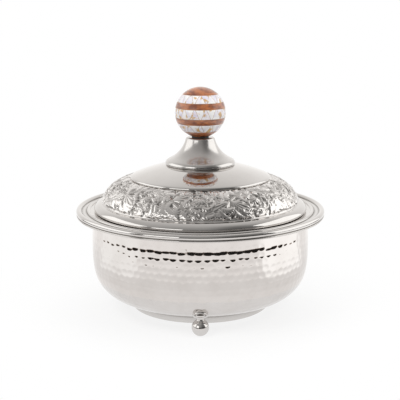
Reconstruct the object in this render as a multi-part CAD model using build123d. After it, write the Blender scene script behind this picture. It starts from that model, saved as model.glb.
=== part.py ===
from build123d import *
import os
from dataclasses import dataclass, field
from math import acos, asin, atan2, cos, degrees, radians, sin, sqrt

# Lengths are in millimetres and turns in degrees.
# The bowl's axis is Z, the floor is at height zero and the single foot in front stands on the -Y side.

# Sheet metal and clearances
BOWL_SHEET = 0.9
LID_SHEET = 0.9
LID_SEAT_GAP = 0.3
LID_SIDE_GAP = 3.1
SCREW_GAP = 0.15
PAN_GAP = 0.2
CUT_OVERRUN = 2.0

# Outer shell, from the opening over the base pan up to the flange under the rim
BELLY_RADIUS = 109.4
SHELL_OPENING_HEIGHT = 12.1
UNDERSIDE_SLOPE = 12.0
UNDERSIDE_LENGTH = 7.9
LOWER_KNUCKLE_RADIUS = 37.0
LOWER_KNUCKLE_TURN = 38.0
UPPER_KNUCKLE_RADIUS = 32.0
UPPER_KNUCKLE_TURN = 28.0
SHOULDER_RADIUS = 95.0
SHOULDER_TURN = 10.4
BARREL_RADIUS = 400.0
SHELL_NECK_RADIUS = 2.5
SEAM_TUCK = 1.2

# Inner bowl with its lid seat, ridge, flange and rolled bead
RIM_OVERHANG = 15.6
RIM_HEIGHT = 102.1
WALL_SPACE = 6.9
INNER_FLOOR_HEIGHT = 19.0
INNER_KNUCKLE_RADIUS = 30.0
INNER_LIP_RADIUS = 2.5
RIDGE_INSET = 12.3
RIDGE_RADIUS = 1.9
RIDGE_RISE = 70.0
BEAD_RADIUS = 2.8
BEAD_RISE = 70.0
BEAD_CURL = 285.0
FOLD_RADIUS = 0.8

# Base pan
PAN_HEIGHT = 3.2
PAN_CORNER_RADIUS = 2.5
PAN_LIP_BEND_RADIUS = 1.5
PAN_LIP_LENGTH = 4.0

# Ball feet
FOOT_NAMES = ("front_foot", "rear_right_foot", "rear_left_foot")
FRONT_FOOT_AZIMUTH = -90.0
FOOT_INSET = 15.4
FOOT_BALL_RADIUS = 8.25
FOOT_FLAT_RADIUS = 2.5
FOOT_NECK_RADIUS = 3.6
FOOT_NECK_HOLLOW_RADIUS = 3.2
FOOT_NECK_FLARE = 50.0
FOOT_FLANGE_RADIUS = 7.5
FOOT_FLANGE_THICKNESS = 1.2
FOOT_FLANGE_EDGE_RADIUS = 0.5

# Lid shell: crown, ornamented dome, cove, plain bead and rolled edge
CROWN_SLOPE = 11.0
DOME_UPPER_RADIUS = 45.0
DOME_UPPER_TURN = 18.0
DOME_LOWER_RADIUS = 29.8
DOME_LOWER_TURN = 42.5
COVE_RADIUS = 2.0
COVE_TURN = 61.5
LID_BEAD_RADIUS = 9.5
LID_BEAD_TURN = 50.0
LID_EDGE_RADIUS = 2.2

# Smooth cap on the lid
CAP_INSET = 1.6
CAP_CROWN_RADIUS = 174.0
CAP_EDGE_RADIUS = 2.2
CAP_HEM_RADIUS = 1.2
HEM_TURN = 110.0

# Flared bell under the knob
BELL_RADIUS = 35.0
BELL_SHOULDER_RADIUS = 2.0
BELL_SHOULDER_TURN = 75.8
BELL_FLARE_RADIUS = 29.7
BELL_FLARE_TURN = 47.0
BELL_SKIRT_LENGTH = 4.2
BELL_EDGE_RADIUS = 4.4
BELL_HEM_RADIUS = 1.2

# Knob with three inlaid bands between angles above and below its equator, and tile pairs in each
KNOB_RADIUS = 25.3
KNOB_FLAT_RADIUS = 9.0
KNOB_WASHER_RADIUS = 8.5
KNOB_WASHER_THICKNESS = 1.2
TILE_DEPTH = 1.5
TILE_JOINT = 0.3
TILE_NARROW_END_SHARE = 0.15
MIDDLE_BAND_ANGLE = 11.2
OUTER_BAND_NEAR_ANGLE = 24.6
OUTER_BAND_FAR_ANGLE = 46.4
MIDDLE_PAIR_COUNT = 14
OUTER_PAIR_COUNT = 12
KNOB_BANDS = {
    "pearl_tiles_upper": (OUTER_BAND_NEAR_ANGLE, OUTER_BAND_FAR_ANGLE, OUTER_PAIR_COUNT),
    "pearl_tiles_middle": (-MIDDLE_BAND_ANGLE, MIDDLE_BAND_ANGLE, MIDDLE_PAIR_COUNT),
    "pearl_tiles_lower": (-OUTER_BAND_FAR_ANGLE, -OUTER_BAND_NEAR_ANGLE, OUTER_PAIR_COUNT),
}

# Screw that holds the lid's pieces together
SCREW_RADIUS = 2.5
SCREW_HEAD_RADIUS = 4.8
SCREW_HEAD_HEIGHT = 3.2
SCREW_ENGAGEMENT = 12.0
SCREW_WASHER_RADIUS = 8.0
SCREW_WASHER_THICKNESS = 1.2
INSERT_RADIUS = 5.0
INSERT_LENGTH = 16.0

QUARTER_TURN = 90.0
HALF_TURN = 180.0
FULL_TURN = 360.0
MATERIAL_LEFT = 1
MATERIAL_RIGHT = -1


def sine(angle):
    return sin(radians(angle))


def cosine(angle):
    return cos(radians(angle))


@dataclass
class SpunSheet:
    """A spun sheet, followed along its visible face as tangent runs and bends in radius and height."""

    radius: float
    height: float
    heading: float
    side: int
    moves: list = field(default_factory=list)

    def run(self, length):
        self.moves.append((length, None))
        return self

    def bend(self, radius, turn):
        self.moves.append((radius, turn))
        return self

    def trace(self, depth=0):
        """Edges of the face that lies the given depth behind the visible one."""
        aim = Vector(cosine(self.heading), sine(self.heading))
        point = Vector(self.radius, self.height) + aim.rotate(Axis.Z, QUARTER_TURN) * self.side * depth
        edges = []
        for size, turn in self.moves:
            if turn is None:
                edge = Line(point, point + aim * size)
            elif turn * self.side > 0:
                edge = JernArc(point, aim, size - depth, turn)
            else:
                edge = JernArc(point, aim, size + depth, turn)
            edges.append(edge)
            point = edge @ 1
            aim = edge % 1
        return edges

    def end(self):
        return self.trace()[-1] @ 1

    def solid(self, thickness):
        front = self.trace()
        back = self.trace(thickness)
        closing = [Line(front[0] @ 0, back[0] @ 0), Line(front[-1] @ 1, back[-1] @ 1)]
        return revolve(Plane.XZ * make_face(front + back + closing), Axis.Z)

    def filled(self):
        """The solid of revolution between the visible face and the axis."""
        front = self.trace()
        low = Vector(0, (front[0] @ 0).Y)
        high = Vector(0, (front[-1] @ 1).Y)
        closing = [Line(front[0] @ 0, low), Line(low, high), Line(high, front[-1] @ 1)]
        return revolve(Plane.XZ * make_face(front + closing), Axis.Z)


def ring(outer, inner, low, high):
    """A plain ring or sleeve on the axis between two heights."""
    outline = Polyline((inner, low), (outer, low), (outer, high), (inner, high), close=True)
    return revolve(Plane.XZ * make_face(outline), Axis.Z)


# Places that several pieces share
RIM_RADIUS = BELLY_RADIUS + RIM_OVERHANG
INNER_RADIUS = BELLY_RADIUS - WALL_SPACE
RIDGE_CENTRE_RADIUS = RIM_RADIUS - RIDGE_INSET
FOOT_CIRCLE_RADIUS = BELLY_RADIUS - FOOT_INSET
BEAD_CENTRE_RADIUS = RIM_RADIUS - BEAD_RADIUS
FLANGE_END_RADIUS = BEAD_CENTRE_RADIUS - (FOLD_RADIUS + BEAD_RADIUS) * sine(BEAD_RISE)
RIDGE_HALF_WIDTH = (FOLD_RADIUS + RIDGE_RADIUS) * sine(RIDGE_RISE)
HOLE_RADIUS = SCREW_RADIUS + SCREW_GAP


def outer_shell_path():
    first_bend = UNDERSIDE_SLOPE + LOWER_KNUCKLE_TURN
    second_bend = first_bend + UPPER_KNUCKLE_TURN
    wall_start = second_bend + SHOULDER_TURN
    reach = (
        UNDERSIDE_LENGTH * cosine(UNDERSIDE_SLOPE)
        + LOWER_KNUCKLE_RADIUS * (sine(first_bend) - sine(UNDERSIDE_SLOPE))
        + UPPER_KNUCKLE_RADIUS * (sine(second_bend) - sine(first_bend))
        + SHOULDER_RADIUS * (sine(wall_start) - sine(second_bend))
        + BARREL_RADIUS * (1 - sine(wall_start))
    )
    path = SpunSheet(BELLY_RADIUS - reach, SHELL_OPENING_HEIGHT, UNDERSIDE_SLOPE, MATERIAL_LEFT)
    path.run(UNDERSIDE_LENGTH)
    path.bend(LOWER_KNUCKLE_RADIUS, LOWER_KNUCKLE_TURN)
    path.bend(UPPER_KNUCKLE_RADIUS, UPPER_KNUCKLE_TURN)
    path.bend(SHOULDER_RADIUS, SHOULDER_TURN)
    # The barrel wall turns until the neck bend brings the flange up under the inner bowl's flange.
    flange_underside = RIM_HEIGHT - BOWL_SHEET - BOWL_SHEET
    climb = flange_underside - path.end().Y
    drop = BARREL_RADIUS * cosine(wall_start) + SHELL_NECK_RADIUS - climb
    wall_end = degrees(acos(drop / (BARREL_RADIUS + SHELL_NECK_RADIUS)))
    path.bend(BARREL_RADIUS, wall_end - wall_start)
    path.bend(SHELL_NECK_RADIUS, -wall_end)
    path.run(BEAD_CENTRE_RADIUS - SEAM_TUCK - path.end().X)
    return path


def inner_bowl_path():
    path = SpunSheet(0, INNER_FLOOR_HEIGHT, 0, MATERIAL_RIGHT)
    path.run(INNER_RADIUS - INNER_KNUCKLE_RADIUS)
    path.bend(INNER_KNUCKLE_RADIUS, QUARTER_TURN)
    path.run(RIM_HEIGHT - INNER_LIP_RADIUS - INNER_FLOOR_HEIGHT - INNER_KNUCKLE_RADIUS)
    path.bend(INNER_LIP_RADIUS, -QUARTER_TURN)
    path.run(RIDGE_CENTRE_RADIUS - RIDGE_HALF_WIDTH - INNER_RADIUS - INNER_LIP_RADIUS)
    path.bend(FOLD_RADIUS, RIDGE_RISE)
    path.bend(RIDGE_RADIUS, -RIDGE_RISE - RIDGE_RISE)
    path.bend(FOLD_RADIUS, RIDGE_RISE)
    path.run(FLANGE_END_RADIUS - RIDGE_CENTRE_RADIUS - RIDGE_HALF_WIDTH)
    path.bend(FOLD_RADIUS, BEAD_RISE)
    path.bend(BEAD_RADIUS, -BEAD_CURL)
    return path


def base_pan_path(shell):
    bend_reach = PAN_LIP_BEND_RADIUS * (1 - sine(UNDERSIDE_SLOPE))
    # The lip's bend clears the inner corner of the shell's opening.
    pan_radius = shell.radius - BOWL_SHEET * sine(UNDERSIDE_SLOPE) - PAN_GAP - bend_reach
    bend_climb = PAN_LIP_BEND_RADIUS * cosine(UNDERSIDE_SLOPE)
    slope_tangent = sine(UNDERSIDE_SLOPE) / cosine(UNDERSIDE_SLOPE)
    lip_start_radius = pan_radius + bend_reach
    seat_height = shell.height + BOWL_SHEET / cosine(UNDERSIDE_SLOPE)
    lip_start_height = seat_height + (lip_start_radius - shell.radius) * slope_tangent
    path = SpunSheet(0, PAN_HEIGHT, 0, MATERIAL_LEFT)
    path.run(pan_radius - PAN_CORNER_RADIUS)
    path.bend(PAN_CORNER_RADIUS, QUARTER_TURN)
    path.run(lip_start_height - bend_climb - PAN_HEIGHT - PAN_CORNER_RADIUS)
    path.bend(PAN_LIP_BEND_RADIUS, UNDERSIDE_SLOPE - QUARTER_TURN)
    path.run(PAN_LIP_LENGTH)
    return path


def turned_foot():
    """Ball, neck and flare of a foot, turned about the vertical through the origin."""
    ball_height = sqrt(FOOT_BALL_RADIUS**2 - FOOT_FLAT_RADIUS**2)
    hollow_radius = FOOT_NECK_RADIUS + FOOT_NECK_HOLLOW_RADIUS
    hollow_rise = sqrt((FOOT_BALL_RADIUS + FOOT_NECK_HOLLOW_RADIUS) ** 2 - hollow_radius**2)
    flat_angle = -degrees(atan2(ball_height, FOOT_FLAT_RADIUS))
    neck_angle = degrees(atan2(hollow_rise, hollow_radius))
    ball = CenterArc((0, ball_height), FOOT_BALL_RADIUS, flat_angle, neck_angle - flat_angle)
    hollow_centre = (hollow_radius, ball_height + hollow_rise)
    hollow_turn = -neck_angle - FOOT_NECK_FLARE
    hollow = CenterArc(hollow_centre, FOOT_NECK_HOLLOW_RADIUS, HALF_TURN + neck_angle, hollow_turn)
    top = hollow @ 1
    rise = Line(top, top + Vector(0, FOOT_FLANGE_RADIUS))
    over = Line(rise @ 1, Vector(0, (rise @ 1).Y))
    axis_line = Line(over @ 1, Vector(0, 0))
    flat = Line(Vector(0, 0), ball @ 0)
    return revolve(Plane.XZ * make_face([flat, ball, hollow, rise, over, axis_line]), Axis.Z)


def foot(envelope):
    """A foot on the +X side, its flange shaped to the belly that it is brazed to."""
    upright = Axis((FOOT_CIRCLE_RADIUS, 0, 0), (0, 0, 1))
    hits = envelope.find_intersection_points(upright)
    seat, outward = min(hits, key=lambda hit: hit[0].Z)
    depth = FOOT_FLANGE_THICKNESS + FOOT_FLANGE_RADIUS
    flange = Cylinder(FOOT_FLANGE_RADIUS, depth, align=(Align.CENTER, Align.CENTER, Align.MAX))
    flange = fillet(flange.edges().group_by(Axis.Z)[-1], FOOT_FLANGE_EDGE_RADIUS)
    tip = Plane(seat + outward * FOOT_FLANGE_THICKNESS, z_dir=outward)
    return Pos(FOOT_CIRCLE_RADIUS, 0, 0) * turned_foot() + tip * flange - envelope


def feet(envelope):
    step = FULL_TURN / len(FOOT_NAMES)
    model = foot(envelope)
    turns = [FRONT_FOOT_AZIMUTH + step * place for place in range(len(FOOT_NAMES))]
    return {name: Rot(0, 0, turn) * model for name, turn in zip(FOOT_NAMES, turns)}


def lid_shell_path():
    upper_end = CROWN_SLOPE + DOME_UPPER_TURN
    lower_end = upper_end + DOME_LOWER_TURN
    bead_start = lower_end - COVE_TURN
    bead_end = bead_start + LID_BEAD_TURN
    edge_turn = HALF_TURN - bead_end
    reach = (
        DOME_UPPER_RADIUS * (sine(upper_end) - sine(CROWN_SLOPE))
        + DOME_LOWER_RADIUS * (sine(lower_end) - sine(upper_end))
        + COVE_RADIUS * (sine(lower_end) - sine(bead_start))
        + LID_BEAD_RADIUS * (sine(bead_end) - sine(bead_start))
        + LID_EDGE_RADIUS * (1 - sine(bead_end))
    )
    lid_radius = RIDGE_CENTRE_RADIUS - RIDGE_HALF_WIDTH - LID_SIDE_GAP
    crown_radius = (lid_radius - reach) / sine(CROWN_SLOPE)
    hole_slope = degrees(asin(HOLE_RADIUS / crown_radius))
    path = SpunSheet(HOLE_RADIUS, 0, -hole_slope, MATERIAL_RIGHT)
    path.bend(crown_radius, hole_slope - CROWN_SLOPE)
    path.bend(DOME_UPPER_RADIUS, -DOME_UPPER_TURN)
    path.bend(DOME_LOWER_RADIUS, -DOME_LOWER_TURN)
    path.bend(COVE_RADIUS, COVE_TURN)
    path.bend(LID_BEAD_RADIUS, -LID_BEAD_TURN)
    path.bend(LID_EDGE_RADIUS, -edge_turn)
    path.height = RIM_HEIGHT + LID_SEAT_GAP - path.end().Y
    return path


def seat_on_crown(path, hem_radius, outer_radius, crown_radius, crown_height):
    """Sets the height of a sheet so that its rolled hem touches the crown below it."""
    contact = outer_radius - hem_radius
    slope = degrees(asin(contact / crown_radius))
    crown_at_contact = crown_height - crown_drop(crown_radius, contact)
    hem_start = path.trace()[-1] @ 0
    path.height += crown_at_contact + hem_radius / cosine(slope) - hem_start.Y
    return path


def crown_top(path, crown_radius):
    """Height of a crown where its arc meets the axis."""
    return path.height + crown_radius * (1 - cosine(path.heading))


def crown_drop(crown_radius, radius):
    """How far a crown falls from the axis to the given radius."""
    return crown_radius - sqrt(crown_radius**2 - radius**2)


def lid_cap_path(lid):
    lid_crown = lid.moves[0][0]
    cap_radius = lid_crown * sine(CROWN_SLOPE) - CAP_INSET
    roll_start = degrees(asin((cap_radius - CAP_EDGE_RADIUS) / (CAP_CROWN_RADIUS - CAP_EDGE_RADIUS)))
    hole_slope = degrees(asin(HOLE_RADIUS / CAP_CROWN_RADIUS))
    path = SpunSheet(HOLE_RADIUS, 0, -hole_slope, MATERIAL_RIGHT)
    path.bend(CAP_CROWN_RADIUS, hole_slope - roll_start)
    path.bend(CAP_EDGE_RADIUS, roll_start - QUARTER_TURN)
    path.bend(CAP_HEM_RADIUS, -HEM_TURN)
    return seat_on_crown(path, CAP_HEM_RADIUS, cap_radius, lid_crown, crown_top(lid, lid_crown))


def bell_collar_path(cap):
    skirt_slope = BELL_SHOULDER_TURN - BELL_FLARE_TURN
    reach = (
        BELL_SHOULDER_RADIUS * sine(BELL_SHOULDER_TURN)
        + BELL_FLARE_RADIUS * (sine(BELL_SHOULDER_TURN) - sine(skirt_slope))
        + BELL_SKIRT_LENGTH * cosine(skirt_slope)
        + BELL_EDGE_RADIUS * (1 - sine(skirt_slope))
    )
    path = SpunSheet(HOLE_RADIUS, 0, 0, MATERIAL_RIGHT)
    path.run(BELL_RADIUS - reach - HOLE_RADIUS)
    path.bend(BELL_SHOULDER_RADIUS, -BELL_SHOULDER_TURN)
    path.bend(BELL_FLARE_RADIUS, BELL_FLARE_TURN)
    path.run(BELL_SKIRT_LENGTH)
    path.bend(BELL_EDGE_RADIUS, skirt_slope - QUARTER_TURN)
    path.bend(BELL_HEM_RADIUS, -HEM_TURN)
    cap_top = crown_top(cap, CAP_CROWN_RADIUS)
    return seat_on_crown(path, BELL_HEM_RADIUS, BELL_RADIUS, CAP_CROWN_RADIUS, cap_top)


def knob_band(low, high, inner, outer):
    """A ring of the knob between two latitudes and two radii, about the knob's centre."""
    inside = CenterArc((0, 0), inner, low, high - low)
    outside = CenterArc((0, 0), outer, low, high - low)
    sides = [Line(inside @ 0, outside @ 0), Line(inside @ 1, outside @ 1)]
    return revolve(Plane.XZ * make_face([inside, outside] + sides), Axis.Z)


def knob_core(flat_drop):
    core = split(Sphere(KNOB_RADIUS), Plane.XY.offset(-flat_drop), keep=Keep.TOP)
    for low, high, _ in KNOB_BANDS.values():
        core -= knob_band(low, high, KNOB_RADIUS - TILE_DEPTH, KNOB_RADIUS + CUT_OVERRUN)
    return core - ring(INSERT_RADIUS, 0, -flat_drop, INSERT_LENGTH - flat_drop)


def sphere_direction(longitude, latitude):
    flat = cosine(latitude)
    return Vector(flat * cosine(longitude), flat * sine(longitude), sine(latitude))


def tile(band, low, high, low_half, high_half):
    """One tile of a band, between two planes that lean in or out from its lower to its upper edge."""
    right = sphere_direction(low_half, low).cross(sphere_direction(high_half, high)).normalized()
    left = Vector(right.X, -right.Y, right.Z)
    if right.Y < 0:
        right, left = -right, -left
    half_joint = TILE_JOINT / 2
    piece = split(band, Plane(-right * half_joint, z_dir=right), keep=Keep.BOTTOM)
    piece = split(piece, Plane(-left * half_joint, z_dir=left), keep=Keep.BOTTOM)
    return piece.solids().sort_by(Axis.X)[-1]


def inlay(low, high, pairs):
    """The tiles of one band: upright and inverted trapezia in turn."""
    margin = degrees(TILE_JOINT / KNOB_RADIUS)
    tile_low = low + margin
    tile_high = high - margin
    band = knob_band(tile_low, tile_high, KNOB_RADIUS - TILE_DEPTH, KNOB_RADIUS)
    half_pitch = FULL_TURN / pairs / 2
    narrow = half_pitch * TILE_NARROW_END_SHARE
    wide = half_pitch - narrow
    upright = tile(band, tile_low, tile_high, wide, narrow)
    inverted = Rot(0, 0, half_pitch) * tile(band, tile_low, tile_high, narrow, wide)
    tiles = []
    for place in range(pairs):
        turn = Rot(0, 0, FULL_TURN / pairs * place)
        tiles.append(turn * upright)
        tiles.append(turn * inverted)
    return Compound(children=tiles)


def knob_screw(head_top, tip):
    head = ring(SCREW_HEAD_RADIUS, 0, head_top - SCREW_HEAD_HEIGHT, head_top)
    head = fillet(head.edges().group_by(Axis.Z)[0], SCREW_HEAD_HEIGHT / 2)
    return head + ring(SCREW_RADIUS, 0, head_top, tip)


def build():
    shell = outer_shell_path()
    lid = lid_shell_path()
    cap = lid_cap_path(lid)
    bell = bell_collar_path(cap)
    flat_drop = sqrt(KNOB_RADIUS**2 - KNOB_FLAT_RADIUS**2)
    knob_flat = bell.height + KNOB_WASHER_THICKNESS
    knob_place = Pos(0, 0, knob_flat + flat_drop)
    lid_crown = lid.moves[0][0]
    lid_underside = lid_crown - LID_SHEET
    washer_top = crown_top(lid, lid_crown) - LID_SHEET - crown_drop(lid_underside, SCREW_WASHER_RADIUS)
    washer_low = washer_top - SCREW_WASHER_THICKNESS
    nodes = {
        "inner_bowl": inner_bowl_path().solid(BOWL_SHEET),
        "outer_shell": shell.solid(BOWL_SHEET),
        "base_pan": base_pan_path(shell).solid(BOWL_SHEET),
        "lid_shell": lid.solid(LID_SHEET),
        "lid_cap": cap.solid(LID_SHEET),
        "bell_collar": bell.solid(LID_SHEET),
        "knob_washer": ring(KNOB_WASHER_RADIUS, HOLE_RADIUS, bell.height, knob_flat),
        "knob_core": knob_place * knob_core(flat_drop),
        "knob_insert": ring(INSERT_RADIUS, HOLE_RADIUS, knob_flat, knob_flat + INSERT_LENGTH),
        "knob_screw": knob_screw(washer_low, knob_flat + SCREW_ENGAGEMENT),
        "screw_washer": ring(SCREW_WASHER_RADIUS, HOLE_RADIUS, washer_low, washer_top),
    }
    nodes.update(feet(shell.filled()))
    for name, (low, high, pairs) in KNOB_BANDS.items():
        nodes[name] = knob_place * inlay(low, high, pairs)
    return nodes


def main():
    os.makedirs("parts", exist_ok=True)
    for name, shape in build().items():
        shape.label = name
        export_step(shape, os.path.join("parts", name + ".step"))


if __name__ == "__main__":
    main()
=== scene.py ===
"""Dresses the lidded serving bowl: spun metal, hammered wall, leaf-scroll lid and inlaid ball knob.

Pieces are drawn in millimetres and degrees. Finishes and the studio are in metres.
"""
from __future__ import annotations

import logging
from collections.abc import Iterable
from dataclasses import dataclass, field
from enum import Enum
from math import asin, atan2, ceil, copysign, cos, degrees, pi, radians, sin, sqrt, tau

import bmesh
import bpy
import numpy as np
from bmesh.types import BMesh, BMVert
from bpy.types import Material, Mesh, Node, NodeSocket, NodeTree, Object
from mathutils import Matrix, Vector

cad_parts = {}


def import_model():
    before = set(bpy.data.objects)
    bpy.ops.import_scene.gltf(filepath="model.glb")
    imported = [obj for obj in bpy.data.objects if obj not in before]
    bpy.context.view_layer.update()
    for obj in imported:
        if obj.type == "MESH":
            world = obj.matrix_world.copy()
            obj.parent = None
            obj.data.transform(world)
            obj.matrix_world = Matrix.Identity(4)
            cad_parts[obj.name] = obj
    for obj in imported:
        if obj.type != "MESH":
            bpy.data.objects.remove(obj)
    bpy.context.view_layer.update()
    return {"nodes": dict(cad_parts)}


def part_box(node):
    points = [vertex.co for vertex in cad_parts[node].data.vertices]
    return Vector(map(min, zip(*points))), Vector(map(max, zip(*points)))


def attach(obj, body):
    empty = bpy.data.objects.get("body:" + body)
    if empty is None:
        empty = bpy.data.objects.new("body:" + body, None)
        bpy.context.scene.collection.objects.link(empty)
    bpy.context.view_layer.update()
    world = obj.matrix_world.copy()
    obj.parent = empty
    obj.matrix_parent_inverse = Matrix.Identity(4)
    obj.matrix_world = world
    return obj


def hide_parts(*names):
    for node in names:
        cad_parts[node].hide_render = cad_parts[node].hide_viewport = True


log = logging.getLogger("serving_bowl")

Array = np.ndarray
Pair = tuple[float, float]
Triple = tuple[float, float, float]

MM = 0.001
QUARTER = 90.0
HALF_TURN = 180.0
ORIGIN = Vector((0, 0, 0))
UP = Vector((0, 0, 1))
TURN_AXIS = Vector((0, -1, 0))
WELD = 2e-3
SHARP_ANGLE = radians(38)
DOUBLINGS = 4
STEP = 4.0
SWING = 11.0
HIDDEN_STEP = 30.0
HIDDEN_SWING = 22.0
TINY = 1e-9


class Body(Enum):
    """The two bodies that the pieces ride on."""

    BOWL = "bowl"
    LID = "lid"


class Slot(Enum):
    """The record's material slots, one named with each piece."""

    POLISHED = "polished_metal"
    HAMMERED = "hammered_metal"
    EMBOSSED = "embossed_metal"
    WOOD = "brown_wood"
    SHELL = "shell_inlay"


class Side(Enum):
    """The side of a drawn outline on which the sheet's metal lies."""

    LEFT = 1
    RIGHT = -1


class Wire:
    """A shader socket whose arithmetic adds Math nodes."""

    def __init__(self, bench: Bench, socket: NodeSocket) -> None:
        """Keeps the socket and the bench that it belongs to."""
        self.bench = bench
        self.socket = socket

    def __add__(self, other: Wire | float) -> Wire:
        """This value plus another."""
        return self.bench.math("ADD", self, other)

    def __radd__(self, other: float) -> Wire:
        """Another value plus this one."""
        return self.bench.math("ADD", other, self)

    def __sub__(self, other: Wire | float) -> Wire:
        """This value less another."""
        return self.bench.math("SUBTRACT", self, other)

    def __rsub__(self, other: float) -> Wire:
        """Another value less this one."""
        return self.bench.math("SUBTRACT", other, self)

    def __mul__(self, other: Wire | float) -> Wire:
        """This value times another."""
        return self.bench.math("MULTIPLY", self, other)

    def __rmul__(self, other: float) -> Wire:
        """Another value times this one."""
        return self.bench.math("MULTIPLY", other, self)


class Bench:
    """A node tree on which a finish is laid out."""

    def __init__(self, tree: NodeTree) -> None:
        """Clears the tree."""
        self.tree = tree
        tree.nodes.clear()

    def node(self, kind: str, settings: dict | None = None, sockets: dict | None = None) -> Node:
        """Adds any node.

        Args:
            kind: the node's type, after the words that all shader nodes start with.
            settings: its properties, or the stops of its ramp, set before its sockets.
            sockets: values or wires for its inputs, by name or place.

        Returns:
            The new node.
        """
        node = self.tree.nodes.new("ShaderNode" + kind)
        for name, value in (settings or {}).items():
            if name == "stops":
                self._set_stops(node.color_ramp, value)
            else:
                setattr(node, name, value)
        for name, value in (sockets or {}).items():
            if isinstance(value, Wire):
                self.tree.links.new(value.socket, node.inputs[name])
            else:
                node.inputs[name].default_value = value
        return node

    @staticmethod
    def _set_stops(ramp: bpy.types.ColorRamp, stops: list[tuple[float, Triple]]) -> None:
        """Gives a ramp its stops.

        Args:
            ramp: the ramp to change.
            stops: pairs of place and colour, in order.
        """
        while len(ramp.elements) < len(stops):
            ramp.elements.new(1.0)
        for element, (place, colour) in zip(ramp.elements, stops):
            element.position = place
            element.color = (*colour, 1.0)

    def wire(
        self, kind: str, settings: dict | None = None, sockets: dict | None = None, output: str | int = 0
    ) -> Wire:
        """Adds any node and wraps one of its outputs."""
        return Wire(self, self.node(kind, settings, sockets).outputs[output])

    def math(self, operation: str, *values: Wire | float) -> Wire:
        """Adds a Math node for one operation on its values."""
        return self.wire("Math", {"operation": operation}, dict(enumerate(values)))

    def clamp(self, value: Wire) -> Wire:
        """Keeps a value between zero and one."""
        return self.wire("Clamp", None, {"Value": value})

    def between(self, value: Wire, start: float, end: float, most: float = 1.0) -> Wire:
        """Maps a range of a value smoothly to zero and the most that it reaches."""
        sockets = {"Value": value, "From Min": start, "From Max": end, "To Max": most}
        return self.wire("MapRange", {"interpolation_type": "SMOOTHSTEP"}, sockets)

    def blend(self, share: Wire | float, first: Wire | Triple, second: Wire | Triple) -> Wire:
        """Mixes two colours by the share of the second."""
        tones = [tone if isinstance(tone, Wire) else (*tone, 1.0) for tone in (first, second)]
        return self.wire("Mix", {"data_type": "RGBA"}, {0: share, 6: tones[0], 7: tones[1]}, 2)

    def place(self) -> Wire:
        """The place on the object in metres."""
        return self.wire("TexCoord", output="Object")

    def axes(self, vector: Wire) -> list[Wire]:
        """The three parts of a vector."""
        return [Wire(self, part) for part in self.node("SeparateXYZ", None, {0: vector}).outputs]

    def vector(self, *parts: Wire | float) -> Wire:
        """A vector from its three parts."""
        return self.wire("CombineXYZ", None, dict(enumerate(parts)))

    def reach(self, place: Wire) -> Wire:
        """The distance of a place from the axis."""
        along_x, along_y, _ = self.axes(place)
        return self.math("SQRT", along_x * along_x + along_y * along_y)

    def stretched(self, vector: Wire, scale: Triple) -> Wire:
        """A place scaled along each axis, for a grain that runs one way."""
        return self.wire("Mapping", None, {"Vector": vector, "Scale": scale})

    def noise(self, vector: Wire, scale: float, detail: float, roughness: float = 0.5) -> Wire:
        """Cloudy noise of a given fineness."""
        sockets = {"Vector": vector, "Scale": scale, "Detail": detail, "Roughness": roughness}
        return self.wire("TexNoise", None, sockets)

    def attribute(self, name: str) -> Wire:
        """A value that the piece's own mesh carries."""
        return self.wire("Attribute", {"attribute_name": name}, None, "Fac")

    def bump(self, height: Wire, strength: float, distance: float) -> Wire:
        """A bumped normal from a height."""
        return self.wire("Bump", None, {"Height": height, "Strength": strength, "Distance": distance})

    def surface(self, shader: Wire) -> None:
        """Ends a material's tree in a shader."""
        self.node("OutputMaterial", None, {"Surface": shader})


def new_bench(name: str) -> tuple[Material, Bench]:
    """Starts a material.

    Args:
        name: of the material.

    Returns:
        The material, and the bench to lay it out on.
    """
    material = bpy.data.materials.new(name)
    material.use_nodes = True
    return material, Bench(material.node_tree)


@dataclass(frozen=True)
class Finish:
    """A finish by its name. A grain is a noise's scale, detail and roughness.

    A layer is the range of a noise over which a tone comes in, and the most that shows of it.
    """

    name: str

    def material(self) -> Material:
        """Lays the finish out.

        Returns:
            The material.
        """
        material, bench = new_bench(self.name)
        bench.surface(bench.wire("BsdfPrincipled", None, self.sockets(bench, bench.place())))
        return material

    def sockets(self, bench: Bench, place: Wire) -> dict:
        """Gives the principled shader's sockets, each finish in its own way."""
        raise NotImplementedError


@dataclass(frozen=True)
class SpunMetal(Finish):
    """Polished nickel-coloured sheet with faint turning lines, a breath of haze and painted shade in its
    creases.
    """

    tint: Triple = (0.668, 0.646, 0.63)
    haze_tint: Triple = (0.628, 0.604, 0.584)
    # painted shade: the dark tone laid into creases and where sheets meet
    painted_crease_shade: Triple = (0.16, 0.145, 0.13)
    gloss: float = 0.045
    haze: float = 0.05
    haze_grain: Triple = (22.0, 4.0, 0.6)
    haze_layer: Pair = (0.35, 0.75)
    crease_dullness: float = 0.15
    mark_grain: Pair = (1400.0, 2.0)
    mark_bump: Pair = (0.018, 0.00004)

    def sockets(self, bench: Bench, place: Wire) -> dict:
        """Lays out haze, painted shade in the creases, and marks.

        Args:
            bench: the bench to work on.
            place: the place on the object.

        Returns:
            The principled shader's sockets.
        """
        haze = bench.between(bench.noise(place, *self.haze_grain), *self.haze_layer)
        # the hollow value tells where painted shade darkens the creases
        crease_shade = bench.attribute("hollow")
        tint = bench.blend(haze, self.tint, self.haze_tint)
        return {
            "Base Color": bench.blend(crease_shade, tint, self.painted_crease_shade),
            "Metallic": 1.0,
            "Roughness": haze * self.haze + crease_shade * self.crease_dullness + self.gloss,
            "Normal": bench.bump(self.marks(bench, place), *self.mark_bump),
        }

    def marks(self, bench: Bench, place: Wire) -> Wire:
        """Turning lines that run round the axis."""
        return bench.noise(bench.vector(bench.reach(place), bench.axes(place)[2], 0.0), *self.mark_grain)


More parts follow.
